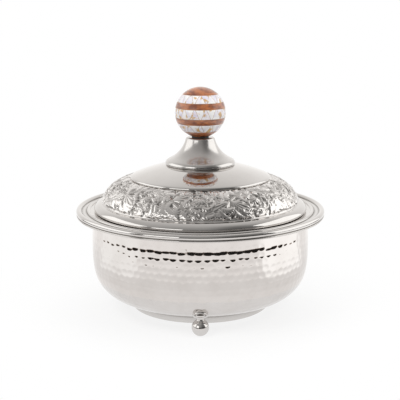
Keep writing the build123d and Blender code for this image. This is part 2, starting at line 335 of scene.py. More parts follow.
@dataclass(frozen=True)
class HammeredMetal(SpunMetal):
    """Planished sheet: polished hollows with a finer grain of small tool marks."""

    tint: Triple = (0.672, 0.644, 0.626)
    haze_tint: Triple = (0.632, 0.602, 0.582)
    # painted shade along the wall's lower edge, where it meets the base dish
    painted_crease_shade: Triple = (0.16, 0.14, 0.125)
    gloss: float = 0.03
    haze: float = 0.035
    haze_grain: Triple = (60.0, 4.0, 0.6)
    crease_dullness: float = 0.0
    mark_grain: Pair = (260.0, 2.0)
    mark_bump: Pair = (0.05, 0.0004)

    def marks(self, bench: Bench, place: Wire) -> Wire:
        """Small tool marks."""
        return bench.noise(place, *self.mark_grain)


@dataclass(frozen=True)
class EmbossedMetal(Finish):
    """Struck sheet whose hollows are painted darker and duller than its polished tops, partly patina and
    partly painted shade.
    """

    tint: Triple = (0.79, 0.762, 0.742)
    # patina and painted shade in the hollows between the ribs
    patina_and_shade_tint: Triple = (0.22, 0.205, 0.19)
    gloss: float = 0.08
    hollow_dullness: float = 0.12
    grime_and_shade_grain: Pair = (120.0, 3.0)
    grime_and_shade_least: float = 0.35
    mark_grain: Pair = (900.0, 2.0)
    mark_bump: Pair = (0.03, 0.0002)

    def sockets(self, bench: Bench, place: Wire) -> dict:
        """Lays out patchy grime and painted shade in the hollows, and small marks.

        Args:
            bench: the bench to work on.
            place: the place on the object.

        Returns:
            The principled shader's sockets.
        """
        # patchy grime with painted shade, strongest deep between the ribs
        patches = bench.noise(place, *self.grime_and_shade_grain) + self.grime_and_shade_least
        grime_and_shade = bench.clamp(bench.attribute("hollow") * patches)
        return {
            "Base Color": bench.blend(grime_and_shade, self.tint, self.patina_and_shade_tint),
            "Metallic": 1.0,
            "Roughness": grime_and_shade * self.hollow_dullness + self.gloss,
            "Normal": bench.bump(bench.noise(place, *self.mark_grain), *self.mark_bump),
        }


@dataclass(frozen=True)
class LacqueredWood(Finish):
    """Turned reddish wood with a short wavy figure, under clear lacquer."""

    light: Triple = (0.43, 0.135, 0.038)
    dark: Triple = (0.17, 0.042, 0.015)
    pore: Triple = (0.05, 0.014, 0.007)
    ring_stretch: Triple = (0.5, 0.4, 1.3)
    ring_grain: Triple = (260.0, 3.0, 0.55)
    ring_layer: Pair = (0.36, 0.66)
    fibre_stretch: Triple = (0.55, 0.3, 1.2)
    fibre_grain: Triple = (620.0, 2.0, 0.6)
    pore_layer: Triple = (0.58, 0.78, 0.7)
    fibre_bump: Pair = (0.12, 0.0001)
    gloss: float = 0.28
    fibre_dullness: float = 0.2
    lacquer: Pair = (0.9, 0.08)

    def sockets(self, bench: Bench, place: Wire) -> dict:
        """Lays out rings, fibres and lacquer.

        Args:
            bench: the bench to work on.
            place: the place on the object.

        Returns:
            The principled shader's sockets.
        """
        rings = bench.noise(bench.stretched(place, self.ring_stretch), *self.ring_grain)
        fibres = bench.noise(bench.stretched(place, self.fibre_stretch), *self.fibre_grain)
        tone = bench.blend(bench.between(rings, *self.ring_layer), self.light, self.dark)
        return {
            "Base Color": bench.blend(bench.between(fibres, *self.pore_layer), tone, self.pore),
            "Roughness": fibres * self.fibre_dullness + self.gloss,
            "Coat Weight": self.lacquer[0],
            "Coat Roughness": self.lacquer[1],
            "Normal": bench.bump(fibres, *self.fibre_bump),
        }


@dataclass(frozen=True)
class PearlShell(Finish):
    """Mother-of-pearl: pale tiles that differ in tone, with cloudy colour and honey flecks."""

    milk: Triple = (0.86, 0.85, 0.84)
    lilac: Triple = (0.62, 0.58, 0.74)
    rose: Triple = (0.84, 0.68, 0.66)
    honey: Triple = (0.58, 0.33, 0.08)
    tile_shift: Triple = (1.0, 3.0, 7.0)
    tile_layer: Triple = (0.3, 0.9, 0.36)
    cloud_grain: Triple = (130.0, 4.0, 0.6)
    cloud_layer: Triple = (0.42, 0.72, 0.7)
    sheen_stretch: Triple = (1.0, 1.0, 3.0)
    sheen_grain: Triple = (130.0, 3.0, 0.55)
    sheen_layer: Triple = (0.52, 0.74, 0.6)
    fleck_grain: Triple = (170.0, 2.0, 0.5)
    fleck_tone: float = 0.14
    fleck_layer: Triple = (0.63, 0.73, 0.85)
    sheen_bump: Pair = (0.05, 0.0002)
    gloss: float = 0.16
    sheen_dullness: float = 0.2
    polish: Pair = (0.6, 0.05)

    def sockets(self, bench: Bench, place: Wire) -> dict:
        """Lays out clouds, sheen and flecks, each tile with its own part of them.

        Args:
            bench: the bench to work on.
            place: the place on the object.

        Returns:
            The principled shader's sockets.
        """
        tone = bench.attribute("tone")
        apart = bench.vector(*(tone * share for share in self.tile_shift))
        shifted = bench.wire("VectorMath", {"operation": "ADD"}, {0: place, 1: apart})
        clouds = bench.between(bench.noise(shifted, *self.cloud_grain), *self.cloud_layer)
        sheen = bench.noise(bench.stretched(shifted, self.sheen_stretch), *self.sheen_grain)
        fleck = bench.noise(shifted, *self.fleck_grain) + tone * self.fleck_tone
        lilac = bench.clamp(clouds + bench.between(tone, *self.tile_layer))
        colour = bench.blend(lilac, self.milk, self.lilac)
        colour = bench.blend(bench.between(sheen, *self.sheen_layer), colour, self.rose)
        return {
            "Base Color": bench.blend(bench.between(fleck, *self.fleck_layer), colour, self.honey),
            "Roughness": sheen * self.sheen_dullness + self.gloss,
            "Coat Weight": self.polish[0],
            "Coat Roughness": self.polish[1],
            "Normal": bench.bump(sheen, *self.sheen_bump),
        }


@dataclass(frozen=True)
class PlainFinish(Finish):
    """A plain fitting with a little wear in its tone."""

    tint: Triple
    worn: Triple
    metallic: float
    gloss: float
    wear_grain: Triple = (240.0, 4.0, 0.6)
    wear_dullness: float = 0.15

    def sockets(self, bench: Bench, place: Wire) -> dict:
        """Lays out the wear.

        Args:
            bench: the bench to work on.
            place: the place on the object.

        Returns:
            The principled shader's sockets.
        """
        wear = bench.noise(place, *self.wear_grain)
        return {
            "Base Color": bench.blend(wear, self.tint, self.worn),
            "Metallic": self.metallic,
            "Roughness": wear * self.wear_dullness + self.gloss,
        }


@dataclass(frozen=True)
class Move:
    """One move of an outline: a run, or a bend where it turns.

    The step is the longest piece that the move is cut into, and the swing the most that a piece turns.
    """

    size: float
    turn: float = 0.0
    step: float = STEP
    swing: float = SWING

    def length(self) -> float:
        """How far the move goes."""
        return self.size * radians(abs(self.turn)) if self.turn else self.size

    def pieces(self) -> int:
        """How many straight pieces stand for the move."""
        least = max(2, ceil(abs(self.turn) / self.swing)) if self.turn else 1
        return max(least, ceil(self.length() / self.step))

    def behind(self, thickness: float, side: Side) -> Move:
        """The same move on the far face of the sheet, followed backwards."""
        offset = thickness * side.value * copysign(1.0, self.turn) if self.turn else 0.0
        return Move(self.size - offset, -self.turn, HIDDEN_STEP, HIDDEN_SWING)


@dataclass
class Outline:
    """A turned outline in radius and height, as tangent runs and bends."""

    radius: float
    height: float
    heading: float
    moves: list[Move] = field(default_factory=list)

    def follow(self, moves: Iterable[Pair], steps: Iterable[float]) -> Outline:
        """Adds moves, each a size and a turn, to the left where positive, with the step that cuts it."""
        self.moves += [Move(*move, step) for move, step in zip(moves, steps, strict=True)]
        return self

    def part(self, first: int, last: int) -> Outline:
        """The outline's moves from one place to before another."""
        before = Outline(self.radius, self.height, self.heading, self.moves[:first])
        return Outline(*before.end(), self.moves[first:last])

    def length(self) -> float:
        """How far the outline goes."""
        return sum(move.length() for move in self.moves)

    def end(self) -> Triple:
        """Follows the outline.

        Returns:
            Radius, height and heading at its end.
        """
        radius, height, heading = self.radius, self.height, self.heading
        for move in self.moves:
            if move.turn == 0.0:
                radius += move.size * cos(radians(heading))
                height += move.size * sin(radians(heading))
                continue
            side = copysign(1.0, move.turn)
            radius -= side * move.size * (sin(radians(heading)) - sin(radians(heading + move.turn)))
            height += side * move.size * (cos(radians(heading)) - cos(radians(heading + move.turn)))
            heading += move.turn
        return radius, height, heading


class Lathe:
    """Draws an outline with a moving vertex and spins it about the axis."""

    def __init__(self, radius: float, height: float, heading: float) -> None:
        """Sets the first vertex down.

        Args:
            radius: its distance from the axis.
            height: its height.
            heading: the direction that the outline starts in, from outwards to up.
        """
        self.bm = bmesh.new()
        self.along = self.bm.verts.layers.float.new("along")
        self.lean = self.bm.verts.layers.float.new("lean")
        self.heading = heading
        self.length = 0.0
        self.facing = Side.LEFT
        self.first = self.tip = self.bm.verts.new((radius, 0, height))
        self.visible = True
        self._mark()

    def _mark(self) -> None:
        """Notes on the tip how far along the visible face it is, and which way that face leans."""
        self.tip[self.along] = self.length if self.visible else -1.0
        self.tip[self.lean] = self.heading - QUARTER * self.facing.value

    def corner(self, turn: float) -> Lathe:
        """Turns without moving."""
        self.heading += turn
        return self

    def move(self, move: Move) -> Lathe:
        """Follows one move of an outline.

        Args:
            move: the run or bend.

        Returns:
            This lathe.
        """
        count = move.pieces()
        for _ in range(count):
            if move.turn == 0.0:
                self._step(move.size / count)
            else:
                self._swing(move.size, move.turn / count)
            self._mark()
        return self

    def _step(self, length: float) -> None:
        """Draws a straight piece.

        Args:
            length: of the piece.
        """
        self.tip = bmesh.ops.extrude_vert_indiv(self.bm, verts=[self.tip])["verts"][0]
        aim = Vector((cos(radians(self.heading)), 0, sin(radians(self.heading))))
        bmesh.ops.translate(self.bm, verts=[self.tip], vec=aim * length)
        self.length += length

    def _swing(self, radius: float, turn: float) -> None:
        """Draws a piece of a bend by spinning the tip about the bend's centre.

        Args:
            radius: of the bend.
            turn: of the piece.
        """
        aim = radians(self.heading + QUARTER * copysign(1.0, turn))
        centre = self.tip.co + Vector((cos(aim), 0, sin(aim))) * radius
        made = bmesh.ops.spin(
            self.bm, geom=[self.tip], cent=centre, axis=TURN_AXIS, angle=radians(turn), steps=1)
        self.tip = next(part for part in made["geom_last"] if isinstance(part, BMVert))
        self.heading += turn
        self.length += radius * radians(abs(turn))

    def sheet(self, outline: Outline, thickness: float, side: Side) -> Lathe:
        """Draws both faces of a sheet and closes it.

        Args:
            outline: the visible face.
            thickness: of the sheet.
            side: where the metal lies as the outline is followed.

        Returns:
            This lathe, ready to spin.
        """
        self.facing = side
        self._mark()
        for move in outline.moves:
            self.move(move)
        self.visible = False
        self.corner(QUARTER * side.value).move(Move(thickness)).corner(QUARTER * side.value)
        for move in reversed(outline.moves):
            self.move(move.behind(thickness, side))
        return self.close()

    def close(self) -> Lathe:
        """Joins the tip to the first vertex, unless both are on the axis.

        Returns:
            This lathe.
        """
        if max(self.first.co.x, self.tip.co.x) > WELD:
            self.bm.edges.new((self.tip, self.first))
        return self

    def spin(self, segments: int) -> BMesh:
        """Spins the outline through a sector and doubles it up to a full turn.

        Args:
            segments: pieces round the turn, a multiple of sixteen.

        Returns:
            The closed mesh, welded and with its faces outwards.
        """
        bm, sector, steps = self.bm, tau / 2**DOUBLINGS, segments // 2**DOUBLINGS
        bmesh.ops.spin(bm, geom=bm.verts[:] + bm.edges[:], cent=ORIGIN, axis=UP, angle=sector, steps=steps)
        for doubling in range(DOUBLINGS):
            copied = bmesh.ops.duplicate(bm, geom=everything(bm))["geom"]
            verts = [part for part in copied if isinstance(part, BMVert)]
            turn = Matrix.Rotation(sector * 2**doubling, 3, "Z")
            bmesh.ops.rotate(bm, verts=verts, cent=ORIGIN, matrix=turn)
        bmesh.ops.remove_doubles(bm, verts=bm.verts, dist=WELD)
        bmesh.ops.dissolve_degenerate(bm, edges=bm.edges, dist=WELD)
        bmesh.ops.recalc_face_normals(bm, faces=bm.faces)
        return bm


def everything(bm: BMesh) -> list:
    """A mesh's vertices, edges and faces."""
    return bm.verts[:] + bm.edges[:] + bm.faces[:]


def turn_about(bm: BMesh, angle: float, axis: str = "Z") -> None:
    """Turns a mesh about an axis through the origin."""
    bmesh.ops.rotate(bm, verts=bm.verts, cent=ORIGIN, matrix=Matrix.Rotation(radians(angle), 3, axis))


def join(whole: BMesh, piece: BMesh) -> None:
    """Adds a mesh to another.

    Args:
        whole: the mesh that grows.
        piece: the mesh that is added and freed.
    """
    spare = bpy.data.meshes.new("joined")
    piece.to_mesh(spare)
    piece.free()
    whole.from_mesh(spare)
    bpy.data.meshes.remove(spare)


def to_mesh(bm: BMesh, name: str) -> Mesh:
    """Turns a mesh in millimetres into a smooth mesh in metres.

    Args:
        bm: the mesh in millimetres, which is freed.
        name: of the new mesh.

    Returns:
        The new mesh.
    """
    bmesh.ops.scale(bm, vec=(MM, MM, MM), verts=bm.verts)
    mesh = bpy.data.meshes.new(name)
    bm.to_mesh(mesh)
    bm.free()
    mesh.shade_smooth()
    mesh.set_sharp_from_angle(angle=SHARP_ANGLE)
    return mesh


def spun_sheet(name: str, outline: Outline, thickness: float, side: Side, segments: int) -> Mesh:
    """A spun sheet of even thickness from its visible outline."""
    lathe = Lathe(outline.radius, outline.height, outline.heading)
    return to_mesh(lathe.sheet(outline, thickness, side).spin(segments), name)


def place_piece(mesh: Mesh, finish: Material, body: Body, slot: Slot, *nodes: str) -> None:
    """Puts a finished piece on its body.

    Args:
        mesh: the piece, in metres and in its place.
        finish: its material.
        body: the body that it rides on.
        slot: the record's slot that its finish belongs to; not used.
        nodes: the CAD nodes that it stands in for.
    """
    for worked in ("along", "lean"):
        if worked in mesh.attributes:
            mesh.attributes.remove(mesh.attributes[worked])
    piece = bpy.data.objects.new(mesh.name, mesh)
    bpy.context.collection.objects.link(piece)
    mesh.materials.append(finish)
    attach(piece, body.value)
    if nodes:
        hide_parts(*nodes)
    log.info("%s: %d faces on the %s", piece.name, len(mesh.polygons), body.value)


def values(mesh: Mesh, name: str) -> Array:
    """Reads a value that each vertex carries.

    Args:
        mesh: the mesh.
        name: of the value.

    Returns:
        The value at each vertex.
    """
    found = np.empty(len(mesh.vertices), np.float32)
    mesh.attributes[name].data.foreach_get("value", found)
    return found.astype(float)


def places_of(mesh: Mesh) -> Array:
    """Reads the places of a mesh's vertices.

    Args:
        mesh: the mesh.

    Returns:
        The places in metres, one to a row.
    """
    places = np.empty(len(mesh.vertices) * 3)
    mesh.vertices.foreach_get("co", places)
    return places.reshape(-1, 3)


def raise_face(mesh: Mesh, rise: Array) -> None:
    """Moves a spun mesh's vertices along the normals of its visible face.

    Args:
        mesh: a mesh that still carries the lathe's lean.
        rise: how far each vertex moves, in millimetres.
    """
    places = places_of(mesh)
    lean = np.radians(values(mesh, "lean"))
    around = np.arctan2(places[:, 1], places[:, 0])
    out = np.cos(lean)
    normals = np.stack([out * np.cos(around), out * np.sin(around), np.sin(lean)], 1)
    places += normals * rise[:, None] * MM
    mesh.vertices.foreach_set("co", places.ravel())
    mesh.update()


def shade(mesh: Mesh, hollow: Array) -> None:
    """Gives each vertex its share of painted darkness for the crease or hollow that it lies in: painted
    shade, and patina as well on the embossed dome.
    """
    layer = mesh.attributes.new("hollow", "FLOAT", "POINT")
    layer.data.foreach_set("value", hollow.astype(np.float32))


def around_axis(mesh: Mesh) -> tuple[Array, Array]:
    """Angle about the axis, and distance from it in millimetres, for each vertex."""
    along_x, along_y, _ = places_of(mesh).T
    return np.arctan2(along_y, along_x), np.hypot(along_x, along_y) / MM


def unit_clip(share: Array) -> Array:
    """Keeps shares between zero and one."""
    return np.clip(share, 0.0, 1.0)


@dataclass
class HammerMarks:
    """Rows of hollows that overlap like scales round the wall, the first row on top."""

    first_row: float
    row_pitch: float = 6.6
    row_reach: float = 1.4
    rows: int = 14
    mark_width: float = 7.7
    depth: float = 0.2
    depth_change: float = 0.14
    upright_curve: float = 27.0
    first_curves: Pair = (31.0, 24.0)
    level_curve: float = 36.0
    wander: float = 0.45
    fade_rows: int = 4
    seed: int = 11

    def depths(self, along: Array, angle: Array, radius: Array) -> Array:
        """How deep the marks are at each vertex.

        Args:
            along: distance along the outline.
            angle: angle about the axis, in radians.
            radius: distance from the axis.

        Returns:
            Depths in millimetres.
        """
        random = np.random.default_rng(self.seed)
        deepest = np.zeros_like(along)
        for row in range(self.rows):
            centre = self.first_row - row * self.row_pitch
            near = np.abs(along - centre) < self.row_pitch * self.row_reach
            if not near.any():
                continue
            count = round(tau * float(np.median(radius[near])) / self.mark_width)
            up_shift = random.normal(0.0, self.wander, count)
            side_shift = random.normal(0.0, self.wander, count)
            weight = random.normal(1.0, self.depth_change, count)
            fade = min(1.0, (self.rows - row) / self.fade_rows)
            curve = self.first_curves[row] if row < len(self.first_curves) else self.upright_curve
            turn = angle[near] / tau * count + random.uniform(0.0, 1.0)
            for step in (-1, 0, 1):
                index = np.floor(turn).astype(int) + step
                pick = index % count
                level = (turn - index - 0.5) * tau / count * radius[near] - side_shift[pick]
                upright = along[near] - centre - up_shift[pick]
                bowl = upright**2 / (2 * curve) + level**2 / (2 * self.level_curve)
                cut = (self.depth * weight[pick] - bowl) * fade
                deepest[near] = np.maximum(deepest[near], cut)
        return deepest


@dataclass(frozen=True)
class Stroke:
    """A raised stroke of the leaf scroll: points with a half-width, a height and a vein.

    A swell is the broad body of a leaf. It covers what was laid before it, and what follows lies on it.
    """

    points: Array
    widths: Array
    rise: float
    vein: float = 0.0
    swell: bool = False


def aimed(angle: float) -> Vector:
    """A direction in the plane of the scroll."""
    return Vector((cos(radians(angle)), sin(radians(angle))))


def bearing(start: Vector, end: Vector) -> float:
    """The angle at which one point of the scroll lies from another."""
    return degrees(atan2(end.y - start.y, end.x - start.x))


@dataclass
class LeafScroll:
    """A running leaf scroll: a waved stem, a curled branch in each wave, fronds and ribbed leaves.

    A swell is a width as a share of a leaf's length, and the part of a sine's half wave that it follows.
    Places in the tables are shares of half a wave, of the band's height or of a stem's length. Rows are:
        petals: first angle, count, distance from the hub, size, width, rise.
        branch_leaves: first and last place, count, aim from the hub, size, loss of size, sweep.
        stem_leaves: place, aim, sweep.
        fans: place, level, lift, aim, spread, ribs, size.
        field_leaves: place, level, aim, size, sweep.
    """

    length: float
    height: float
    repeats: int = 5
    curve_points: int = 14
    curve_middle: float = 0.6
    body_rise: float = 1.25
    rib_rise: float = 0.5
    leaf_rise: float = 0.56
    lobe_pitch: float = 2.8
    lobe_width: float = 1.3
    lobe_bend: Pair = (0.45, 0.55)
    lobe_taper: Triple = (0.7, 1.0, 0.35)
    lobe_lean: Triple = (20.0, 4.0, 60.0)
    lobe_reach: Triple = (0.7, 0.34, 1.2)
    lobe_growth: Pair = (0.84, 0.16)
    level_width: Pair = (0.6, 0.4)
    least_lobes: int = 3
    first_lobe: float = 0.1
    frond_rib: float = 0.7
    frond_swell: Triple = (0.25, 0.12, 0.94)
    fan_swell: Triple = (0.34, 0.06, 0.9)
    fan_round: float = 1.1
    fan_flare: float = 52.0
    fan_rib: float = 1.5
    fan_waist: float = 0.85
    fan_bow: float = 0.6
    body_edge: float = 0.3
    vein: float = 0.3
    vein_width: float = 0.3
    stem_width: float = 1.6
    stem_rise: float = 1.45
    stem_margin: float = 4.6
    stem_points: int = 140
    stem_leaf_sizes: Triple = (8.0, 4.0, 16.0)
    hub_drop: float = 1.6
    curl_reach: Pair = (15.2, 3.6)
    curl_turns: float = 1.7
    curl_start: float = 158.0
    curl_width: float = 0.26
    curl_widths: Triple = (1.6, 1.4, 1.0)
    curl_middle: float = 0.4
    curl_close: float = 0.8
    curl_points: int = 260
    flower_radius: float = 5.4
    petal_sweep: float = 24.0
    boss: Pair = (1.2, 0.75)
    speck: float = 0.05
    ground_grid: tuple[int, int] = (6, 4)
    ground_leaf: Triple = (-112.0, 9.5, 0.4)
    ground_bend: float = 24.0
    swell_shade: float = 0.5
    edge_shade: float = 0.25
    spot_digits: int = 3
    domes: Pair = (0.9, 0.6)
    petals: tuple[tuple[float, ...], ...] = ((22, 9, 1.6, 3.6, 0.95, 0.35), (0, 6, 0.8, 2.4, 0.9, 0.55))
    branch_leaves: tuple[tuple[float, ...], ...] = (
        (0.04, 0.9, 11, -26.0, 16.0, 7.0, -88.0), (0.07, 0.6, 6, 220.0, 11.0, 3.0, 78.0),
    )
    stem_leaves: tuple[Triple, ...] = (
        (0.04, 150, -84), (0.17, 136, -84), (0.3, 122, -86), (0.43, 108, -88), (0.56, 92, -88),
        (0.7, 72, -88), (0.84, 50, -86),
    )
    fans: tuple[tuple[float, ...], ...] = (
        (0.985, 0.5, 1.0, 156, 60, 6, 19.0), (0.02, 0.5, -0.5, -34, 62, 6, 18.0),
        (0.52, 0.0, 0.2, 90, 130, 7, 8.0),
    )
    field_leaves: tuple[tuple[float, ...], ...] = (
        (0.90, 0.42, -112, 20.0, 84), (0.97, 0.38, -92, 17.0, 70), (0.76, 0.03, 14, 17.0, 84),
        (0.66, 0.02, 30, 13.0, 84), (0.30, 0.03, 168, 15.0, -80), (0.12, 0.30, -70, 17.0, 74),
        (0.05, 0.24, -88, 14.0, 80), (0.93, 0.95, 190, 16.0, 76), (0.02, 0.93, -14, 15.0, -76),
    )

    def curve(self, start: Vector, bow: Vector, end: Vector, widths: Triple, rise: float) -> Stroke:
        """A bowed stroke.

        Args:
            start: where it grows from.
            bow: the point that draws it aside.
            end: its tip.
            widths: half-widths at its start, middle and tip.
            rise: its height.

        Returns:
            The stroke.
        """
        share = np.linspace(0.0, 1.0, self.curve_points)[:, None]
        first, middle, last = (np.array(point[:2]) for point in (start, bow, end))
        points = first * (1 - share) ** 2 + middle * 2 * share * (1 - share) + last * share**2
        return Stroke(points, np.interp(share[:, 0], [0.0, self.curve_middle, 1.0], widths), rise)

    def lobe(self, root: Vector, aim: float, size: float, sweep: float, width: float, rise: float) -> Stroke:
        """A leaf lobe that leaves its root at an angle and sweeps aside to a point.

        Args:
            root: where it grows from.
            aim: the angle at which it leaves its root.
            size: its length.
            sweep: how far its tip turns aside.
            width: its half-width in the middle.
            rise: its height.

        Returns:
            The stroke.
        """
        near, far = self.lobe_bend
        tip = root + aimed(aim) * size * near + aimed(aim + sweep) * size * far
        widths = tuple(width * share for share in self.lobe_taper)
        return self.curve(root, root + aimed(aim) * size * far, tip, widths, rise)

    def body(self, spine: Stroke, size: float, swell: Triple, level: float) -> Stroke:
        """The swelling body of a leaf.

        Args:
            spine: the stroke that it follows.
            size: the leaf's length.
            swell: its width as a share of its length, and its span.
            level: its height as a share of the full height.

        Returns:
            The stroke.
        """
        share, *span = swell
        widths = size * share * np.sin(np.linspace(*span, len(spine.points)) * pi) + self.body_edge
        return Stroke(spine.points, widths, self.body_rise * level, swell=True)

    def frond(self, root: Vector, aim: float, size: float, sweep: float, level: float = 1.0) -> list[Stroke]:
        """A leaf on a swelling body, with a bowed rib and lobes on both sides that shorten to its tip.

        Args:
            root: where it grows from.
            aim: the angle at which it leaves its root.
            size: its length.
            sweep: how far its tip turns aside.
            level: its height as a share of the full height.

        Returns:
            The body, the rib and the lobes.
        """
        rib = self.lobe(root, aim, size, sweep, self.frond_rib, self.rib_rise * level)
        strokes = [self.body(rib, size, self.frond_swell, level), rib]
        count = max(self.least_lobes, round(size / self.lobe_pitch))
        lean, close, turn = self.lobe_lean
        long, less, more = self.lobe_reach
        low, grow = self.lobe_growth
        width = self.lobe_width * (self.level_width[0] + self.level_width[1] * level)
        last = len(rib.points) - 2
        for place in range(count):
            share = (place + self.first_lobe) / count
            at = min(round(share * last), last)
            here, ahead = Vector(rib.points[at]), Vector(rib.points[at + 1])
            reach = size * (long - less * share) + more
            rise = self.leaf_rise * (low + grow * share) * level
            for side in (-1, 1):
                out = bearing(here, ahead) + side * (lean - close * share)
                strokes.append(self.lobe(here, out, reach, side * turn, width, rise))
        return strokes

    def fan(self, root: Vector, aim: float, spread: float, count: int, size: float) -> list[Stroke]:
        """A leaf of long ribs that part from one root, longest in the middle and round at their tips.

        Args:
            root: where it grows from.
            aim: the angle of its middle.
            spread: the angle between its outer ribs.
            count: how many ribs it has.
            size: its length.

        Returns:
            The body and the ribs.
        """
        strokes = [self.body(self.lobe(root, aim, size, 0.0, 1.0, 0.0), size, self.fan_swell, 1.0)]
        widths = (self.body_edge, self.fan_rib * self.fan_waist, self.fan_rib)
        for place in range(count):
            share = place / (count - 1) - 0.5
            length = size * (1.0 - self.fan_round * share * share)
            out, lean = aimed(aim + spread * share), aimed(aim + (spread + self.fan_flare) * share)
            bow, tip = root + out * length * self.fan_bow, root + out * length / 2 + lean * length / 2
            strokes.append(self.curve(root, bow, tip, widths, self.leaf_rise))
        return strokes

    def branch(self, hub: Vector) -> tuple[Stroke, list[Stroke]]:
        """The curled branch and the fronds that grow from both sides of it.

        Args:
            hub: the middle of the curl.

        Returns:
            The branch, and the fronds' strokes.
        """
        share = np.linspace(0.0, 1.0, self.curl_points)
        angle = np.radians(self.curl_start) - share * tau * self.curl_turns
        reach = self.curl_reach[0] * (1 - share) ** self.curl_close + self.curl_reach[1] * share
        wide = 1 + self.curl_width * (1 - share)
        points = np.stack([hub.x + reach * wide * np.cos(angle), hub.y + reach * np.sin(angle)], 1)
        widths = np.interp(share, [0, self.curl_middle, 1], self.curl_widths)
        fronds = []
        for first, last, count, aim, size, less, sweep in self.branch_leaves:
            for place in np.linspace(first, last, count):
                root = Vector(points[int(place * (self.curl_points - 2))])
                fronds += self.frond(root, bearing(hub, root) + aim, size - less * place, sweep)
        return Stroke(points, widths, self.stem_rise, self.vein, True), fronds

    def ground(self, hub: Vector) -> list[Stroke]:
        """Low small fronds that swirl round the hub and leave no bare metal.

        Args:
            hub: the middle of the curled branch.

        Returns:
            The fronds' strokes.
        """
        strokes = []
        (columns, rows), (aim, size, level) = self.ground_grid, self.ground_leaf
        for column in range(columns):
            for row in range(rows):
                across = (column + 0.5 * (row % 2)) / columns
                root = Vector((self.length / 2 * across, self.height * (row + 0.5) / rows))
                bent = self.ground_bend * (-1) ** (column + row)
                strokes += self.frond(root, bearing(hub, root) + aim + bent, size, bent * 2, level)
        return strokes

    def rosette(self, hub: Vector) -> list[Stroke]:
        """A flower of two rings of petals round a boss.

        Args:
            hub: its middle.

        Returns:
            The disc, the petals and the boss.
        """
        beside = hub + Vector((self.speck, 0.0))
        disc = np.full(2, self.flower_radius)
        strokes = [Stroke(np.array([hub, beside]), disc, self.body_rise, swell=True)]
        for start, count, root, size, width, rise in self.petals:
            for petal in range(count):
                aim = start + 360 / count * petal
                strokes.append(self.lobe(hub + aimed(aim) * root, aim, size, self.petal_sweep, width, rise))
        radius, rise = self.boss
        return strokes + [self.curve(hub, hub, beside, (radius, radius, radius), rise)]

    def unit(self) -> list[Stroke]:
        """Draws half a wave.

        Returns:
            Its strokes, laid from the ground of fronds to the stem.
        """
        half, top, middle = self.length / 2, self.height, self.height / 2
        hub = Vector((half / 2, middle - self.hub_drop))
        share = np.linspace(0.0, 1.0, self.stem_points)
        stem = np.stack([share * half, middle + (middle - self.stem_margin) * np.sin(share * pi)], 1)
        curl, fronds = self.branch(hub)
        strokes = self.ground(hub) + fronds + self.rosette(hub)
        least, beyond, most = self.stem_leaf_sizes
        for place, aim, sweep in self.stem_leaves:
            root = Vector(stem[int(place * (self.stem_points - 1))])
            strokes += self.frond(root, aim, min(max(least, top - root.y + beyond), most), sweep)
        for place, level, lift, *fan in self.fans:
            strokes += self.fan(Vector((half * place, top * level + lift)), *fan)
        for place, level, *leaf in self.field_leaves:
            strokes += self.frond(Vector((half * place, top * level)), *leaf)
        widths = np.full(self.stem_points, self.stem_width)
        return strokes + [curl, Stroke(stem, widths, self.stem_rise, self.vein, True)]

    def strokes(self) -> list[Stroke]:
        """Draws a whole wave.

        Returns:
            The strokes of the unit, and of the unit turned over half a wave on.
        """
        unit, turned = self.unit(), []
        for stroke in unit:
            points = np.stack([stroke.points[:, 0] + self.length / 2, self.height - stroke.points[:, 1]], 1)
            turned.append(Stroke(points, stroke.widths, stroke.rise, stroke.vein, stroke.swell))
        return unit + turned

    @staticmethod
    def share_of_width(stroke: Stroke, spots: Array) -> Array:
        """How far spots lie from the middle of a stroke, as a share of its half-width there.

        Args:
            stroke: the stroke.
            spots: the places, one to a row.

        Returns:
            A share for each spot: zero on the crest and one at the foot.
        """
        start, run = stroke.points[:-1], np.diff(stroke.points, axis=0)
        offset = spots[:, None, :] - start
        square = np.maximum((run**2).sum(-1), TINY)
        place = unit_clip((offset * run).sum(-1) / square)
        gap = np.linalg.norm(offset - place[..., None] * run, axis=-1)
        return (gap / (stroke.widths[:-1] + place * np.diff(stroke.widths))).min(1)

    def heights(self, along: Array, up: Array) -> tuple[Array, Array]:
        """The relief's height at each place, and how deep that place lies between the ribs.

        Args:
            along: distance round the band.
            up: distance up the band.

        Returns:
            Heights above the ground of the relief, and shares from crest to valley.
        """
        key = np.round(np.stack([np.mod(along, self.length), up], 1), self.spot_digits)
        spots, back = np.unique(key, axis=0, return_inverse=True)
        body, rib, edge, valley = (np.full(len(spots), start) for start in (0.0, 0.0, 0.0, 1.0))
        owner, leaf = np.zeros(len(spots), int), 0
        for stroke in self.strokes():
            leaf += stroke.swell
            low = stroke.points.min(0) - stroke.widths.max()
            high = stroke.points.max(0) + stroke.widths.max()
            centre, reach = (low + high) / 2, (high - low) / 2
            beside = np.mod(spots[:, 0] - centre[0] + self.length / 2, self.length) - self.length / 2
            above = spots[:, 1] - centre[1]
            near = np.flatnonzero((np.abs(beside) < reach[0]) & (np.abs(above) < reach[1]))
            if near.size == 0:
                continue
            share = self.share_of_width(stroke, np.stack([beside[near], above[near]], 1) + centre)
            groove = stroke.vein * np.exp(-((share / self.vein_width) ** 2))
            shape = (stroke.rise - groove) * unit_clip(1.0 - share**2) ** self.domes[stroke.swell]
            if stroke.swell:
                over = shape > body[near]
                under = near[over]
                body[under], edge[under], owner[under] = shape[over], share[over], leaf
                rib[under], valley[under] = 0.0, self.swell_shade
                continue
            over = ((owner[near] == leaf) | (owner[near] == 0)) & (shape > rib[near])
            rib[near[over]], valley[near[over]] = shape[over], share[over] ** 2
        valley = np.maximum(valley, unit_clip((edge - 1 + self.edge_shade) / self.edge_shade))
        return (body + rib)[back.ravel()], valley[back.ravel()]


